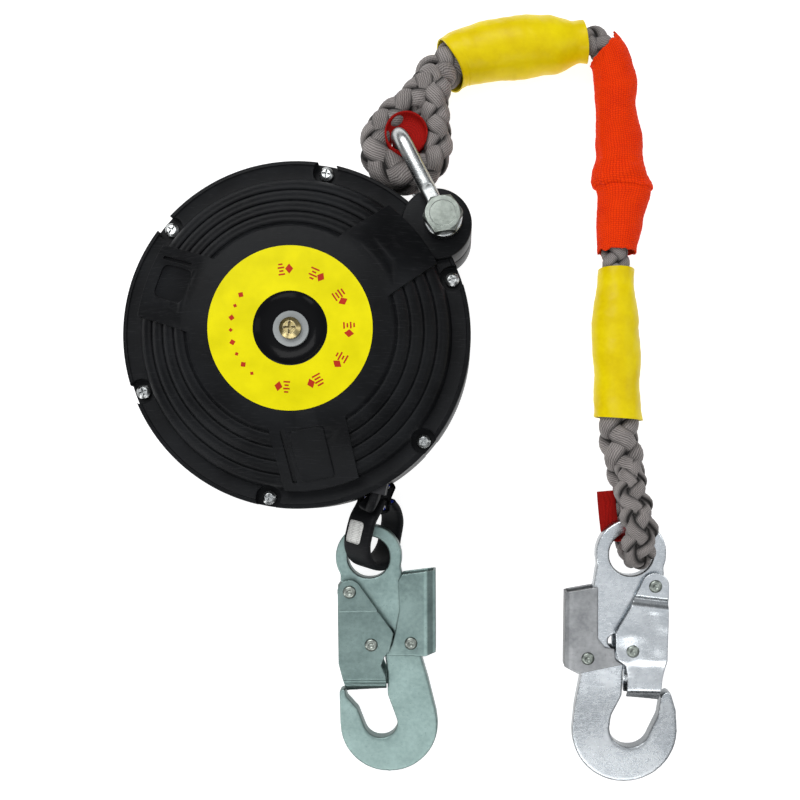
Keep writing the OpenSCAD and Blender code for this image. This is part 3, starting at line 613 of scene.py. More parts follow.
def rope_eye(name, path, width, matrix, node, flat, half):
    """An eye of plaited rope and its filling."""
    build, inside = Build(), Build()
    plait(build, path, width, 26, half, flat)
    core(inside, path, width * 0.5, flat)
    eye = placed(build.piece(name), matrix)
    stuffing = placed(inside.piece(name + "_filling"), matrix)
    finished(eye, "lanyard", rope_yarn, [node], 60)
    finished(stuffing, "lanyard", rope_gap_shade)
    return eye, stuffing


upper_line = eye_path(16.0, 3.6)
low_part = smooth(4, -13, upper_line[:, 1])
upper_flat = np.stack([np.ones(len(low_part)), 1.12 - 0.12 * low_part], 1)
eye_upper = rope_eye("eye_upper_plait", upper_line, 7.8 + 1.9 * low_part, UPPER_EYE, "rope_eye_upper",
                     upper_flat, 0.6)

lower_line = eye_path(13.2, 0)
lower_line[:, 1] *= np.where(lower_line[:, 1] > 0, 0.82, 1.38)
lower_line[:, 2] -= 3.0 * smooth(0, 9, -lower_line[:, 0])
front_leg = smooth(2, -9, lower_line[:, 0])
lower_flat = np.stack([np.full(len(front_leg), 0.92), 1.15 + 0.5 * front_leg], 1)
eye_lower = rope_eye("eye_lower_plait", lower_line, 6.0 + 1.0 * front_leg, LOWER_EYE, "rope_eye_lower",
                     lower_flat, 0.56)


def liner(name, rings_of, node):
    """A soft red lining: a thin wall through rings of (centre, radius)."""
    a = np.linspace(0, 2 * math.pi, 64, endpoint=False)
    spine = curve_through([(*c, r) for c, r in rings_of], 0.7)
    skins = []
    for d in (0, -0.8):
        x = spine[:, 0][:, None] + (spine[:, 3][:, None] + d) * np.cos(a)
        y = spine[:, 1][:, None] + (spine[:, 3][:, None] + d) * np.sin(a)
        crumple = 0.25 * rough(np.stack([x, y, spine[:, 2][:, None] + 0 * x], -1), 5, 31).reshape(x.shape)
        skins.append(np.stack([x, y, spine[:, 2][:, None] + crumple], -1))
    obj = hollow(name, skins[0], skins[1], lengths(spine[:, :3]))
    return finished(obj, "lanyard", liner_cloth, [node], 60)


def hollow(name, outer, inner, run):
    """A tube with a wall, open at both ends, from rings of its outer and inner skins."""
    build = Build()
    loop = np.concatenate([outer, inner[::-1], outer[:1]])
    build.grid(loop, np.concatenate([run, run[::-1] + 2, [2 + 2 * run[-1]]]), caps=False)
    obj = build.piece(name)
    edit = bmesh.new()
    edit.from_mesh(obj.data)
    bmesh.ops.remove_doubles(edit, verts=edit.verts, dist=1e-7)
    bmesh.ops.recalc_face_normals(edit, faces=edit.faces)
    edit.to_mesh(obj.data)
    edit.free()
    return obj


def band_rings(path, wide, half_wide, half_thick, sides=40):
    """Rings of a flat band with round edges. wide is its width's direction at each point."""
    along = unit(np.gradient(path, axis=0))
    wide = unit(wide - np.sum(wide * along, 1)[:, None] * along)
    thick = np.cross(along, wide)
    a = np.linspace(0, 2 * math.pi, sides, endpoint=False)
    c, q = np.cos(a), np.sin(a)
    u, v = np.sign(c) * np.abs(c) ** 0.35, np.sign(q) * np.abs(q) ** 0.6
    half_wide = np.broadcast_to(half_wide, len(path))[:, None, None]
    out = half_wide * u[None, :, None] * wide[:, None]
    return path[:, None] + out + half_thick * v[None, :, None] * thick[:, None]


# A funnel on each side of the shackle's rod
liner_upper = liner("liner_upper", [((53.8, 102.8, 38.4), 10.8), ((53.2, 101.6, 35.4), 10.2),
                                    ((51.4, 99.8, 32.8), 6.8), ((50.3, 99.2, 31), 5.1),
                                    ((51.2, 99.8, 29.4), 6.4), ((53.0, 101.6, 27.2), 9.8),
                                    ((53.4, 102.6, 24.8), 10.4)], "thimble_upper")

# A strip round the hook's ring, behind the front leg of the eye
bend = [(*polar(8.2, a), 0) for a in range(180, 361, 15)]
trough_line = curve_through([(-8.0, 24, 0), (-8.4, 12, 0)] + bend + [(8.4, 10, 0), (8, 21, 0)], 0.8)
trough_run = lengths(trough_line)
trough_line[:, :2] *= 0.9
behind = smooth(3.5, 7.4, trough_line[:, 0])
trough_line[:, 2] = -3.6 - 6.9 * behind
trough_across = np.broadcast_to(UP, trough_line.shape)
trough = Build()
trough.grid(band_rings(trough_line, trough_across, 4.0 + 1.2 * behind, 0.45), trough_run)
liner_lower = finished(placed(trough.piece("liner_lower"), LOWER_EYE), "lanyard", liner_cloth,
                       ["thimble_lower"], 50)


# ---- sleeves and cover on the rope ----

def wrap(name, span, radius, thickness, sides=72, step=0.8, starts=None, ends=None, shift=None):
    """A hollow skin round the rope between two lengths along it. radius and shift depend on the share of the
    length, 0 to 1, and starts and ends on the angle. The skin lies on the floor where it would pass it."""
    share = np.linspace(0, 1, max(8, round((span[1] - span[0]) / step)))
    a = np.linspace(0, 2 * math.pi, sides, endpoint=False)
    t, angle = np.meshgrid(share, a, indexing="ij")
    first = span[0] + (starts(angle) if starts else 0)
    last = span[1] + (ends(angle) if ends else 0)
    s = first + (last - first) * t
    whole = lengths(ROPE_PATH)
    along, side, top = axes_along(ROPE_PATH, UP)
    centre, side, top = [np.stack([np.interp(s, whole, v[:, i]) for i in range(3)], -1)
                         for v in (ROPE_PATH, side, top)]
    if shift:
        centre = centre + shift(t)[..., None] * side
    across, over = radius(t, angle, centre)
    skin = [centre + (across - d)[..., None] * np.cos(angle)[..., None] * side
            + (over - d)[..., None] * np.sin(angle)[..., None] * top for d in (0, thickness)]
    for layer, d in zip(skin, (0, thickness)):
        layer[..., 2] = np.maximum(layer[..., 2], 0.25 + d)
    return hollow(name, skin[0], skin[1], s[:, 0] - s[0, 0])


def profile_of(pairs):
    """A soft line through pairs of share and value."""
    shares, values = zip(*pairs)
    fine = np.linspace(0, 1, 400)
    line = np.interp(fine, shares, values)
    line = np.convolve(np.pad(line, 12, "edge"), np.ones(25) / 25, "valid")
    return lambda t: np.interp(t, fine, line)


def dented(point, angle, size, depth, seed):
    """Wrinkles and dents that look pressed in from outside."""
    a = angle.ravel()
    flat = point.reshape(-1, 3) + np.stack([np.cos(a) * 9, np.sin(a) * 9, 0 * a], 1)
    big = rough(flat, size, seed).reshape(angle.shape)
    small = rough(flat, size * 0.42, seed + 3).reshape(angle.shape)
    return depth * (big - 0.35 * np.abs(small))


SLEEVE_UPPER = (route_length(2) + 4.5, route_length(7) + 2)
SLEEVE_LOWER = (route_length(15), route_length(18) + 1)
COVER = (route_length(9) - 4, route_length(14) + 1)

upper_girth = profile_of([(0, 13.2), (0.08, 14.2), (0.25, 15.2), (0.55, 15.6), (0.78, 14.6), (0.86, 12.2),
                          (0.93, 10.4), (1, 10.8)])
lower_girth = profile_of([(0, 9.6), (0.1, 9.4), (0.2, 11.4), (0.35, 12.7), (0.5, 12.2), (0.6, 12.8),
                          (0.75, 12.2), (0.9, 12.3), (1, 13.0)])


def upper_radius(t, angle, centre):
    r = upper_girth(t) + dented(centre, angle, 15, 1.5, 1) + 0.3 * smooth(0.03, 0, t)
    return r, r * 0.93


def lower_radius(t, angle, centre):
    r = lower_girth(t) + dented(centre, angle, 13, 1.3, 2) + 0.3 * smooth(0.96, 1, t)
    return r, r * 0.95


sleeve_upper = wrap("sleeve_upper_film", SLEEVE_UPPER, upper_radius, 0.7,
                    starts=lambda a: 3.5 * np.cos(a), ends=lambda a: -1.5 * np.cos(a))
sleeve_lower = wrap("sleeve_lower_film", SLEEVE_LOWER, lower_radius, 0.7,
                    ends=lambda a: 1.8 * np.cos(a - 0.4))
finished(sleeve_upper, "lanyard", sleeve_film, ["rope_sleeve_upper"], 60)
finished(sleeve_lower, "lanyard", sleeve_film, ["rope_sleeve_lower"], 60)

# Half width of the flattened cover and its shift to the side, by share of its length
cover_half = profile_of([(0, 10.8), (0.1, 11.4), (0.22, 11.6), (0.28, 10.6), (0.38, 11.6), (0.47, 12.6),
                         (0.53, 10.8), (0.6, 12.2), (0.655, 14.8), (0.68, 15.8), (0.70, 14.4), (0.80, 12.9),
                         (0.9, 11.6), (1, 10.4)])
cover_shift = profile_of([(0, 0.5), (0.2, 0.5), (0.3, 2), (0.45, 1.2), (0.6, 0.6), (0.67, -1.8),
                          (0.71, -3.6), (0.8, -1.8), (1, -0.8)])
CUFF = 0.685                # where the cover is folded over on itself


def cover_radius(t, angle, centre):
    """The cover's half width and height, with its cuff, a long crease, rucks and a woven surface."""
    fold = 1.5 * smooth(CUFF + 0.006, CUFF - 0.006, t) * smooth(0.40, 0.62, t)
    crease = np.exp(-(((angle - 1.75 - 0.9 * np.sin(3.2 * t + 0.4)) / 0.16) ** 2)) * smooth(0.75, 0.5, t)
    ruck = 0.8 * np.sin(t * 62 + 2.5 * np.cos(angle)) * smooth(0.52, 0.60, t) * smooth(0.70, 0.66, t)
    wave = dented(centre, angle, 12, 1.0, 5)
    weave = 0.10 * np.sin(t * 118 * math.pi / 1.2) * np.sin(angle * 26)
    return cover_half(t) + fold + wave + weave, 8.8 + fold + 1.6 * crease + ruck + wave + weave


def ragged(seed, depth):
    """The uneven line of a cut edge, by angle."""
    return lambda a: depth * rough(np.stack([np.cos(a), np.sin(a), 0 * a], -1), 0.22, seed).reshape(a.shape)


cover = wrap("cover_cloth", COVER, cover_radius, 0.8, sides=208, step=0.5, shift=lambda t: -cover_shift(t),
             starts=lambda a: ragged(7, 1.4)(a) - 2.0 * np.cos(a), ends=lambda a: ragged(8, 1.2)(a))
finished(cover, "lanyard", cover_cloth, ["rope_cover"], 60)


# ---- casing ----

PLATEAU_R = 49
FLANGE_R = 86.2
FLANGE_H = 13               # half of the flange's thickness
LIP_H = 0.8
ROLLS, ROLL_R, ROLL_PITCH, ROLL_RISE = 4, 50.8, 6.3, 1.9
VALLEY_Z = (29, 16)
SPOKE_R = 77.5              # outer radius of the flat spokes
SPOKE_SLOPE = (MID_Z - 17.6) / (SPOKE_R - PLATEAU_R)
SPOKES = (40, 160, 280)
EAR_DIR = 37.4
BOLT = polar(91.3, EAR_DIR)
WEB_OUT = (39, -76)
WEB_HEADING = -13.07
SCREWS = [polar(81.8, 20 + 60 * i) for i in range(6)]


def rolled(t):
    """Height over the mid-plane of the rolls, t rolls out from the innermost valley."""
    base = VALLEY_Z[0] + (VALLEY_Z[1] - VALLEY_Z[0]) * t / ROLLS
    return base + ROLL_RISE * math.sqrt(math.sin(math.pi * (t % 1)))


def cover_profile(dished):
    """Radius and height over the mid-plane, out over the cover and back inside it."""
    rolls = [(ROLL_R + ROLL_PITCH * i / 16, rolled(i / 16)) for i in range(16 * ROLLS + 1)]
    slope = [(9.5 + 7.8 * i / 8, 28 + 2.9 * (i / 8) ** 2) for i in range(1, 9)]
    middle = [(2.8, 28), (9.5, 28)] + slope + [(17.8, 31)] if dished else [(0, MID_Z)]
    shoulder = [(PLATEAU_R - 0.6, MID_Z), (PLATEAU_R, MID_Z - 0.2), (PLATEAU_R + 0.5, MID_Z - 0.7)]
    flange = [(77, FLANGE_H), (83.5, FLANGE_H), (84, FLANGE_H + 0.2), (84.3, FLANGE_H + LIP_H)]
    rim = [(FLANGE_R - 0.8, FLANGE_H + LIP_H), (FLANGE_R - 0.2, FLANGE_H + 0.5), (FLANGE_R, FLANGE_H),
           (FLANGE_R, 0.35), (FLANGE_R - 0.4, 0.05)]
    inside = [(73, 0.05), (73, 12.8), (66, 16.8), (60, 20.5), (54, 23.5), (47, 27.5),
              (2.8 if dished else 0, 27.5)]
    return middle + shoulder + rolls + flange + rim + inside


def rounded(length, width, corner, steps=6):
    """A rectangle with round corners about the origin."""
    out = []
    for i, (sx, sy) in enumerate([(1, 1), (-1, 1), (-1, -1), (1, -1)]):
        centre = np.array([sx * (length / 2 - corner), sy * (width / 2 - corner)])
        out += [tuple(centre + polar(corner, 90 * i + 90 * k / steps)) for k in range(steps + 1)]
    return out


def on_spoke(obj, direction, out, left):
    """Lays a piece on the slope of a spoke, out from the reel's axis and to the left."""
    height = MID_Z - SPOKE_SLOPE * (out - PLATEAU_R)
    lay = moved(out, left, height) @ Matrix.Rotation(math.atan(SPOKE_SLOPE), 4, "Y")
    return placed(obj, Matrix.Rotation(math.radians(direction), 4, "Z") @ lay)


def spoke(direction, half_width=18.5):
    """A flat sloping bar over the rolls, from the plateau out to SPOKE_R."""
    side = [(42, 15), (SPOKE_R + 3, 10), (SPOKE_R + 3, MID_Z - SPOKE_SLOPE * (SPOKE_R + 3 - PLATEAU_R)),
            (PLATEAU_R, MID_Z - 0.05), (42, MID_Z - 0.05)]
    bar = prism("bar", side, -half_width, half_width)
    placed(bar, Matrix.Rotation(math.radians(direction), 4, "Z") @ Matrix.Rotation(math.radians(90), 4, "X"))
    return combine(bar, [prism("limit", disc(SPOKE_R, steps=256), 0, 40)], "INTERSECT")


def rim_sector(low, high, inner, outer, bottom, top):
    """A block between two radii and two directions."""
    turns = [low + (high - low) * i / 16 for i in range(17)]
    back = [high - (high - low) * i / 16 for i in range(17)]
    return prism("sector", [polar(outer, d) for d in turns] + [polar(inner, d) for d in back], bottom, top)


def make_cover(name, dished):
    """One half of the casing. The front half is dished in the middle and has hollows in its spokes."""
    cover = revolve(name, cover_profile(dished))
    ear = prism("ear", disc(17.6, BOLT - (3.4, 1.2), 72), 0.05, 16.5, 1.2)
    neck = prism("neck", rounded(30, 26, 3), 0.05, 12.9)
    placed(neck, moved(*polar(76, EAR_DIR), 0, EAR_DIR))
    added = [spoke(d) for d in SPOKES] + [ear, neck]
    if dished:
        added.append(on_spoke(prism("panel", rounded(27, 17, 2), -3, 0.8, 0.7), SPOKES[2], 60.5, -1))
    combine(cover, added, "UNION")
    cut = [prism("pocket", disc(6.3, at), 9, 30) for at in SCREWS]
    cut += [prism("shank", disc(2.1, at), -1, 30) for at in SCREWS]
    cut += [prism("bolt_hole", disc(8.1, BOLT), -1, 30), rim_sector(-75, -43, 83.6, 92, FLANGE_H, 20)]
    cut.append(placed(prism("outlet", [(-5, -30), (5, -30), (5, 24), (-5, 24)], -1, 11.5),
                      moved(*WEB_OUT, 0, WEB_HEADING)))
    cut.append(prism("hollow", disc(73, steps=128), -1, 12.8))
    tongue = prism("tongue", [(50, -10.1), (92, -10.1), (92, 10.1), (50, 10.1)], 10.9, 14.1)
    cut += [placed(tongue, moved(0, 0, 0, EAR_DIR)), prism("tongue_end", disc(11.1, BOLT), 10.9, 14.1)]
    if dished:
        cut.append(on_spoke(prism("groove", rounded(28, 2.2, 1.1), -1.2, 3), SPOKES[2], 60, -12.4))
        cut.append(on_spoke(prism("recess", rounded(20, 17, 4), -0.9, 3), SPOKES[1], 62, -1.5))
        cut.append(on_spoke(prism("groove", rounded(19, 1.8, 0.9), -1.1, 3), SPOKES[1], 64, -12.6))
    combine(cover, cut, "DIFFERENCE")
    place = Matrix.Translation((0, 0, MID_Z * MM))
    return placed(cover, place if dished else place @ Matrix.Scale(-1, 4, (0, 0, 1)))


front = make_cover("front_casing", True)
back = make_cover("back_casing", False)
outward(back)
finished(front, "housing", casing, ["front_cover"])
finished(back, "housing", casing, ["back_cover"])
dish = glossy_paint("dish_black", (0.006, 0.0062, 0.007), 0.2, 0.07)
front.data.materials.append(dish)
for face in front.data.polygons:
    if math.hypot(face.center.x, face.center.y) < 17.9 * MM and face.center.z > (MID_Z + 27.6) * MM:
        face.material_index = 1


# ---- label marks: plain red shapes, with no writing ----

MARK_R = 28.2               # radius of the ring of marks


def label_mark(outline, radius, degrees, turn=0.0):
    mark = prism("mark", outline, 0, 0.08)
    return placed(mark, moved(*polar(radius, degrees), REEL_T + 0.28, degrees + turn))


def diamond(x, y):
    return [(-x, 0), (0, -y), (x, 0), (0, y)]


marks = []
for i in range(7):
    angle = 96 - 32 * i
    for row in (-2.5, -0.9, 0.7, 2.3):
        half = (4.2 - 1.1 * ((i + round(row)) % 3)) / 2
        bar = [(-half, -0.375), (half, -0.375), (half, 0.375), (-half, 0.375)]
        marks.append(label_mark(bar, MARK_R + row, angle + 2.6, 90))
    marks.append(label_mark(diamond(2.4, 1.9), MARK_R, angle - 5.2))
for i in range(8):
    size = (1.5, 1.0)[i % 2]
    marks.append(label_mark(diamond(size, size), MARK_R, 146 + 12 * i))
edit = bmesh.new()
for mark in marks:
    edit.from_mesh(mark.data)
    bpy.data.objects.remove(mark)
mesh = bpy.data.meshes.new("label_marks")
edit.to_mesh(mesh)
edit.free()
finished(add_object("label_marks", mesh), "housing", label_ink)


# ---- shackle, bolt and nut ----

HOOK_T = 8
SHEET_T = 1.4
GAP, RUN = 0.1, 0.05        # clearances between pieces
ARM_Z = 19.8                # middle of a shackle arm, from the mid-plane
ARM_T = 6
HEX_R = 9.8
HEX_H = 6.4


def copied(node, name):
    """A copy of a CAD node's mesh, welded."""
    edit = bmesh.new()
    edit.from_mesh(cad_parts[node].data)
    bmesh.ops.remove_doubles(edit, verts=edit.verts, dist=1e-6)
    mesh = bpy.data.meshes.new(name)
    edit.to_mesh(mesh)
    edit.free()
    return add_object(name, mesh)


def forged(node, name, matrix, voxel, rounds, shape=None):
    """A CAD node's shape with soft worn edges. shape moves its points, in its own frame, in millimetres."""
    obj = copied(node, name)
    placed(obj, matrix.inverted())
    remesh = obj.modifiers.new("skin", "REMESH")
    remesh.mode, remesh.voxel_size = "VOXEL", voxel * MM
    relax = obj.modifiers.new("wear", "SMOOTH")
    relax.factor, relax.iterations = 0.5, rounds
    apply_modifiers(obj)
    if shape:
        points = np.zeros(3 * len(obj.data.vertices))
        obj.data.vertices.foreach_get("co", points)
        obj.data.vertices.foreach_set("co", (shape(points.reshape(-1, 3) / MM) * MM).ravel())
    return placed(obj, matrix)


AT_BOLT = moved(*BOLT, MID_Z)
finished(forged("shackle", "shackle_rod", AT_BOLT, 0.45, 8), "shackle", bright_zinc,
         ["shackle"], 60)


def hexagon(radius, height, name):
    """A hex head or nut with its corners turned off at the top."""
    head = prism(name, [tuple(polar(radius, 60 * i)) for i in range(6)], 0, height, 0.15)
    turned = [(0, -1), (radius + 1, -1), (radius + 1, height - 1.9), (radius * 0.84, height + 0.05),
              (0, height + 0.05)]
    return combine(head, [revolve("turned", turned, 96)], "INTERSECT")


bolt = hexagon(HEX_R, HEX_H, "bolt")
dimple = revolve("dimple", [(0, HEX_H + 1), (6.6, HEX_H + 1), (6.2, HEX_H - 0.25), (0, HEX_H - 0.25)], 72)
combine(bolt, [dimple], "DIFFERENCE")
placed(bolt, moved(0, 0, ARM_Z + ARM_T / 2, 8))
low = -ARM_Z - ARM_T / 2 - HEX_H
combine(bolt, [revolve("shank", [(0, low - 1), (4.4, low - 1), (5, low), (5, 24), (0, 24)], 64)], "UNION")
finished(placed(bolt, AT_BOLT), "shackle", warm_zinc, ["shackle_bolt"], 30)
nut = placed(hexagon(HEX_R, HEX_H, "nut"), Matrix.Rotation(math.pi, 4, "X"))
combine(nut, [revolve("bore", [(0, -HEX_H - 1), (5.01, -HEX_H - 1), (5.01, 1), (0, 1)], 64)], "DIFFERENCE")
placed(nut, AT_BOLT @ moved(0, 0, -ARM_Z - ARM_T / 2))
finished(nut, "shackle", warm_zinc, ["shackle_nut"], 30)


# ---- snap hooks: each pair of values is (lanyard hook, lower hook) ----

NAMES = ("lanyard_hook", "lower_hook")
HOOK_AT = ((170, -109.6), (33, -111.4))
HOOK_LEN = (123.5, 116)
HOOK_TILT = (6.5, 6)
GATE_PIVOT = ((12.3, -16.4), (-9.8, -17.8))
LEVER_PIVOT = ((-22, -55.3), (22, -45.5))
LOCK_PIN = ((1.2, -50.8), (1.3, -45.8))
RIVET_R = 2.5
INNER_Z = HOOK_T / 2 + GAP                 # inner face of a lever's cheeks
OUTER_Z = INNER_Z + SHEET_T + GAP          # inner face of a gate's cheeks


def hook_frame(k):
    tilt = math.radians(HOOK_TILT[k])
    height = HOOK_T / 2 * math.cos(tilt) + HOOK_LEN[k] * math.sin(tilt)
    return moved(*HOOK_AT[k], height) @ Matrix.Rotation(tilt, 4, "X")


def rivet(x, y, z, name="rivet"):
    """A pin with a round dimpled head on each side, whose inner faces are at z."""
    head = [(0, 0.55), (0.8, 0.55), (1.15, 0.75), (1.5, 1.05), (2.1, 1.1), (2.9, 0.75), (3.35, 0.3),
            (3.4, 0.0), (RIVET_R, 0)]
    profile = [(r, z + h) for r, h in head] + [(r, -z - h) for r, h in reversed(head)]
    return placed(revolve(name, profile, 48), moved(x, y, 0))


def toned(obj, matrix, tone):
    """Stores how much darker the metal is painted at each point, from its brightness as a share of the usual
    one, for its material: painted shade, reflections and highlights, and random tone.
    """
    points = np.zeros(3 * len(obj.data.vertices))
    obj.data.vertices.foreach_get("co", points)
    inverse = np.array(matrix.inverted())
    local = (points.reshape(-1, 3) @ inverse[:3, :3].T + inverse[:3, 3]) / MM
    layer = obj.data.attributes.new("painted_shade_and_tone", "FLOAT", "POINT")
    layer.data.foreach_set("value", np.clip(1 - tone(local), 0, 0.95).astype(np.float32))
    return obj


# How bright each sheet is at its points, in the hook's own frame: painted reflections, shade and highlights
# at bands and folds, random clouds, and plates darker towards the bottom

def lanyard_gate_tone(p):
    y = p[:, 1] + 0.12 * (p[:, 0] - 12)
    # Painted reflections: a dark band across at the pressed band and a dark curled bottom edge; the clouds on
    # the body are random tone.
    band = smooth(-22.4, -23.4, y) * smooth(-28.2, -26.6, y)
    fold = smooth(-71.6, -72.6, p[:, 1])
    cloud = 0.5 + 0.5 * rough(p * (1, 1, 0), 8, 41)
    return 1 - 0.55 * band - 0.6 * fold - 0.16 * cloud * smooth(-28, -32, y) * smooth(-70, -66, y)


def lower_gate_tone(p):
    # Painted reflections: a dark line at the step below the lug, and at the folded bottom edge a painted
    # highlight strip over a dark strip; the gate is darker overall.
    line = np.exp(-(((p[:, 1] + 28) / 0.5) ** 2))
    dark = smooth(-67.6, -68.2, p[:, 1])
    bright = smooth(-64.6, -65.2, p[:, 1]) * (1 - dark)
    return 0.62 - 0.25 * line + 0.34 * bright - 0.36 * dark


def lower_lever_tone(p):
    # Painted highlight and painted shade: a bright strip and a dark strip where the cheeks draw in towards
    # the bent back.
    bright = smooth(28.6, 29.2, p[:, 0]) * smooth(30.6, 30.0, p[:, 0])
    dark = smooth(30.4, 31.0, p[:, 0]) * smooth(34.0, 33.2, p[:, 0])
    return 0.72 + 0.22 * bright - 0.34 * dark


def lanyard_lever_tone(p):
    # Painted shade: darker towards the bent back, with random tone.
    edge = smooth(-31.6, -32.4, p[:, 0])
    return 0.92 - 0.25 * edge - 0.12 * rough(p * (1, 1, 0), 10, 43)


def lanyard_plate_tone(p):
    return 1 - 0.36 * smooth(-62, -86, p[:, 1]) - 0.06 * rough(p * (1, 1, 0), 14, 44)


def lower_plate_tone(p):
    return 0.86 - 0.05 * smooth(-70, -92, p[:, 1]) - 0.06 * rough(p * (1, 1, 0), 14, 45)


def pressed(p, amount):
    """Moves both cheeks of a channel out by an amount, or in where it is negative."""
    p[:, 2] += np.sign(p[:, 2]) * amount * smooth(3, 5, np.abs(p[:, 2]))
    return p


def dents(p, size, depth, seed):
    """How far each point is pushed, the same through the thickness of a cheek."""
    return depth * rough(np.stack([p[:, 0], p[:, 1], 40 * np.sign(p[:, 2])], 1), size, seed)


def lanyard_gate_shape(p):
    """Lug, a pressed band across below it, a dented body and a bottom edge curled in."""
    y = p[:, 1] + 0.12 * (p[:, 0] - 12)
    body = 0.9 * smooth(-25.0, -28.8, y)
    band = -1.0 * smooth(-22.0, -24.0, y) * smooth(-28.4, -25.0, y)
    curl = -3.8 * smooth(-71.0, -78.5, p[:, 1]) ** 1.2
    waist = -0.5 * smooth(-55, -60, p[:, 1]) * smooth(-72, -66, p[:, 1])
    return pressed(p, body + band + curl + waist + dents(p, 9, 0.6, 11) * smooth(-28, -32, y))


def lower_gate_shape(p):
    """Lug with a step below it, a flat body and a bottom edge folded in two steps."""
    body = 0.5 * smooth(-27.6, -28.4, p[:, 1])
    y = p[:, 1]
    fold = -0.55 * smooth(-64.6, -65.4, y) - 1.1 * smooth(-65.4, -68.2, y) - 2.6 * smooth(-68.2, -72, y)
    return pressed(p, body + fold + dents(p, 14, 0.16, 12))


def lever_shape(p):
    """Slightly uneven cheeks that draw in towards the bent back."""
    return pressed(p, dents(p, 13, 0.12, 13) - 0.9 * smooth(29.4, 35, np.abs(p[:, 0])))


def plate_shape(p):
    """A forged plate: a little uneven."""
    p[:, 2] *= 1 + 0.012 * rough(p * (1, 1, 0), 16, 14)
    return p


PLATE_LOOKS = (bright_steel, dull_zinc)
LEVER_LOOKS = (lever_steel, dull_zinc)
GATE_SHAPES = (lanyard_gate_shape, lower_gate_shape)
TONES = ((lanyard_plate_tone, lower_plate_tone), (lanyard_gate_tone, lower_gate_tone),
         (lanyard_lever_tone, lower_lever_tone))
for k, hook in enumerate(NAMES):
    base, gate, lever = hook, hook.replace("hook", "gate"), hook.replace("hook", "lever")
    at = hook_frame(k)
    plate_piece = forged(f"{hook}_plate", f"{hook}_forging", at, 0.5, 26, plate_shape)
    toned(plate_piece, at, TONES[0][k])
    finished(plate_piece, base, PLATE_LOOKS[k], [f"{hook}_plate"], 60)
    gate_piece = forged(f"{hook}_gate", f"{hook}_gate_sheet", at, 0.38, 4, GATE_SHAPES[k])
    toned(gate_piece, at, TONES[1][k])
    finished(gate_piece, gate, PLATE_LOOKS[k], [f"{hook}_gate"], 60)
    lever_piece = forged(f"{hook}_lever", f"{hook}_lever_sheet", at, 0.38, 3, lever_shape)
    toned(lever_piece, at, TONES[2][k])
    finished(lever_piece, lever, LEVER_LOOKS[k], [f"{hook}_lever"], 60)
    pins = combine(rivet(*GATE_PIVOT[k], OUTER_Z + SHEET_T + RUN, f"{hook}_rivet_heads"),
                   [rivet(*LEVER_PIVOT[k], INNER_Z + SHEET_T + RUN)], "UNION")
    finished(placed(pins, at), base, warm_zinc, [f"{hook}_rivets"], 40)
    pin = placed(rivet(*LOCK_PIN[k], OUTER_Z + SHEET_T + 0.6, f"{hook}_lock_pin"), at)
    finished(pin, gate, warm_zinc, [f"{hook}_gate_pin"], 40)


# ---- webbing outside the drum ----

WEB_T, WEB_W = 1.6, 17.8
MOUTH = moved(*WEB_OUT, MID_Z, WEB_HEADING)
LOOP = moved(34.9, -102.4, 16.1, WEB_HEADING, 54)
LOOP_R = 13.3
LOOP_HALF = 6.2             # half the width of the webbing in the loop
SLEEVE_HALF = (8.6, 7.2)    # half the width of the sleeve on its front and back legs


loop_line = curve_through(
    [(-8.6, 21.5, 0), (-10.6, 16, 0), (-13, 9, 0)]
    + [(*polar(LOOP_R, a), 0) for a in range(180, 361, 15)]
    + [(12.8, 8, 0), (11.4, 13.5, 0), (7.6, 18.2, 0), (2, 21.5, 0)], 0.6)
loop_run = lengths(loop_line)
across_loop = np.broadcast_to(UP, loop_line.shape)
webbing = Build()
webbing.grid(band_rings(loop_line, across_loop, LOOP_HALF, 1.0), loop_run)
loop_webbing = placed(webbing.piece("loop_webbing"), LOOP)
finished(loop_webbing, "lifeline_end", webbing_white, ["webbing_loop"], 50)

front_part = smooth(0.75, 0.5, loop_run / loop_run[-1])
sag = loop_line + 0.18 * rough(loop_line, 7, 21)[:, None] * [1, 1, 0]
outer_line = sag + 1.6 * front_part[:, None] * [0, 0, 1]
sleeve_half = SLEEVE_HALF[1] + (SLEEVE_HALF[0] - SLEEVE_HALF[1]) * front_part
loop_cover = hollow("loop_sleeve_rubber", band_rings(outer_line, across_loop, sleeve_half, 1.95),
                    band_rings(sag, across_loop, LOOP_HALF + 0.15, 1.15), loop_run)
window = prism("window", rounded(11.4, 11.8, 2.2), -20, 0)
placed(window, moved(-13, 2.2, -0.6) @ Matrix.Rotation(math.radians(90), 4, "Y"))
combine(loop_cover, [window], "DIFFERENCE")
finished(placed(loop_cover, LOOP), "lifeline_end", rubber, ["loop_sleeve"], 50)

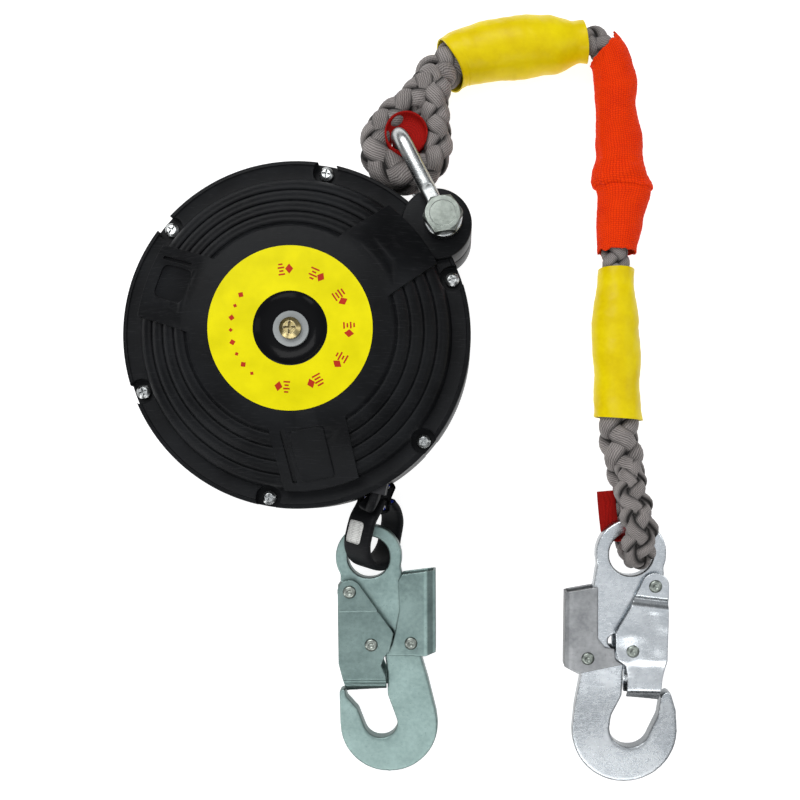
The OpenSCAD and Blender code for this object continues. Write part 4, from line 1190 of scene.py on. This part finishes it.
TAIL_IN, TAIL_OUT = 60, 3
leg_end = np.array(MOUTH.inverted() @ LOOP @ (Vector((-4.2, 20.5, 0)) * MM)) / MM
tail_line = curve_through([(0, TAIL_IN - 7 * i, 0) for i in range(9)] + [(0, -TAIL_OUT, 0)]
                          + [tuple(leg_end * (0, 0.55, 0.45) + (-0.6, 0, 0)), tuple(leg_end)], 0.8)
twist = np.radians(90 - 54 * smooth(-TAIL_OUT, leg_end[1], tail_line[:, 1]))
tail_wide = np.stack([np.cos(twist), 0 * twist, np.sin(twist)], 1)
tail_half = WEB_W / 2 - (WEB_W / 2 - 5.8) * smooth(-TAIL_OUT, leg_end[1], tail_line[:, 1])
tail = Build()
tail.grid(band_rings(tail_line, tail_wide, tail_half, WEB_T / 2), lengths(tail_line))
strap = placed(tail.piece("strap_out"), MOUTH)
finished(strap, None, webbing_white, ["webbing_tail"], 50)
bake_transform(strap)

# The black sheath round the strap between the mouth and the loop
out = tail_line[:, 1] < 2.5
line, wide, half = tail_line[out], tail_wide[out], tail_half[out]
neck = hollow("neck_rubber", band_rings(line, wide, half + 1.8, 2.6),
              band_rings(line, wide, half + 0.6, WEB_T / 2 + 0.5), lengths(line))
finished(placed(neck, MOUTH), "lifeline_end", rubber, (), 50)


# ---- CAD nodes that keep their shape ----

KEPT = {
    label_film: ["label"],
    washer_grey: ["front_washer"],
    nylon: ["outlet_guide", "drum_hub"],
    friction: ["friction_discs"],
    webbing_white: ["webbing_coil"],
    yellow_zinc: ["front_screw", "brake_screws"],
    bright_zinc: ["cover_screws", "frame_spacers", "pawl_pins"],
    bright_steel: ["centre_rod"],
    lever_steel: ["pawl_a", "pawl_b"],
    bush_brass: ["ear_bush", "hub_bushes"],
    plate_steel: ["frame_plate_front", "frame_plate_back", "spring_case", "drum_flanges", "pawl_carrier",
                  "ratchet_ring", "pressure_ring"],
    spring_steel: ["power_spring", "lanyard_hook_gate_spring", "lanyard_hook_lever_spring",
                   "lower_hook_gate_spring", "lower_hook_lever_spring"],
}
for look, nodes in KEPT.items():
    for node in nodes:
        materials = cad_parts[node].data.materials
        materials.clear()
        materials.append(look)
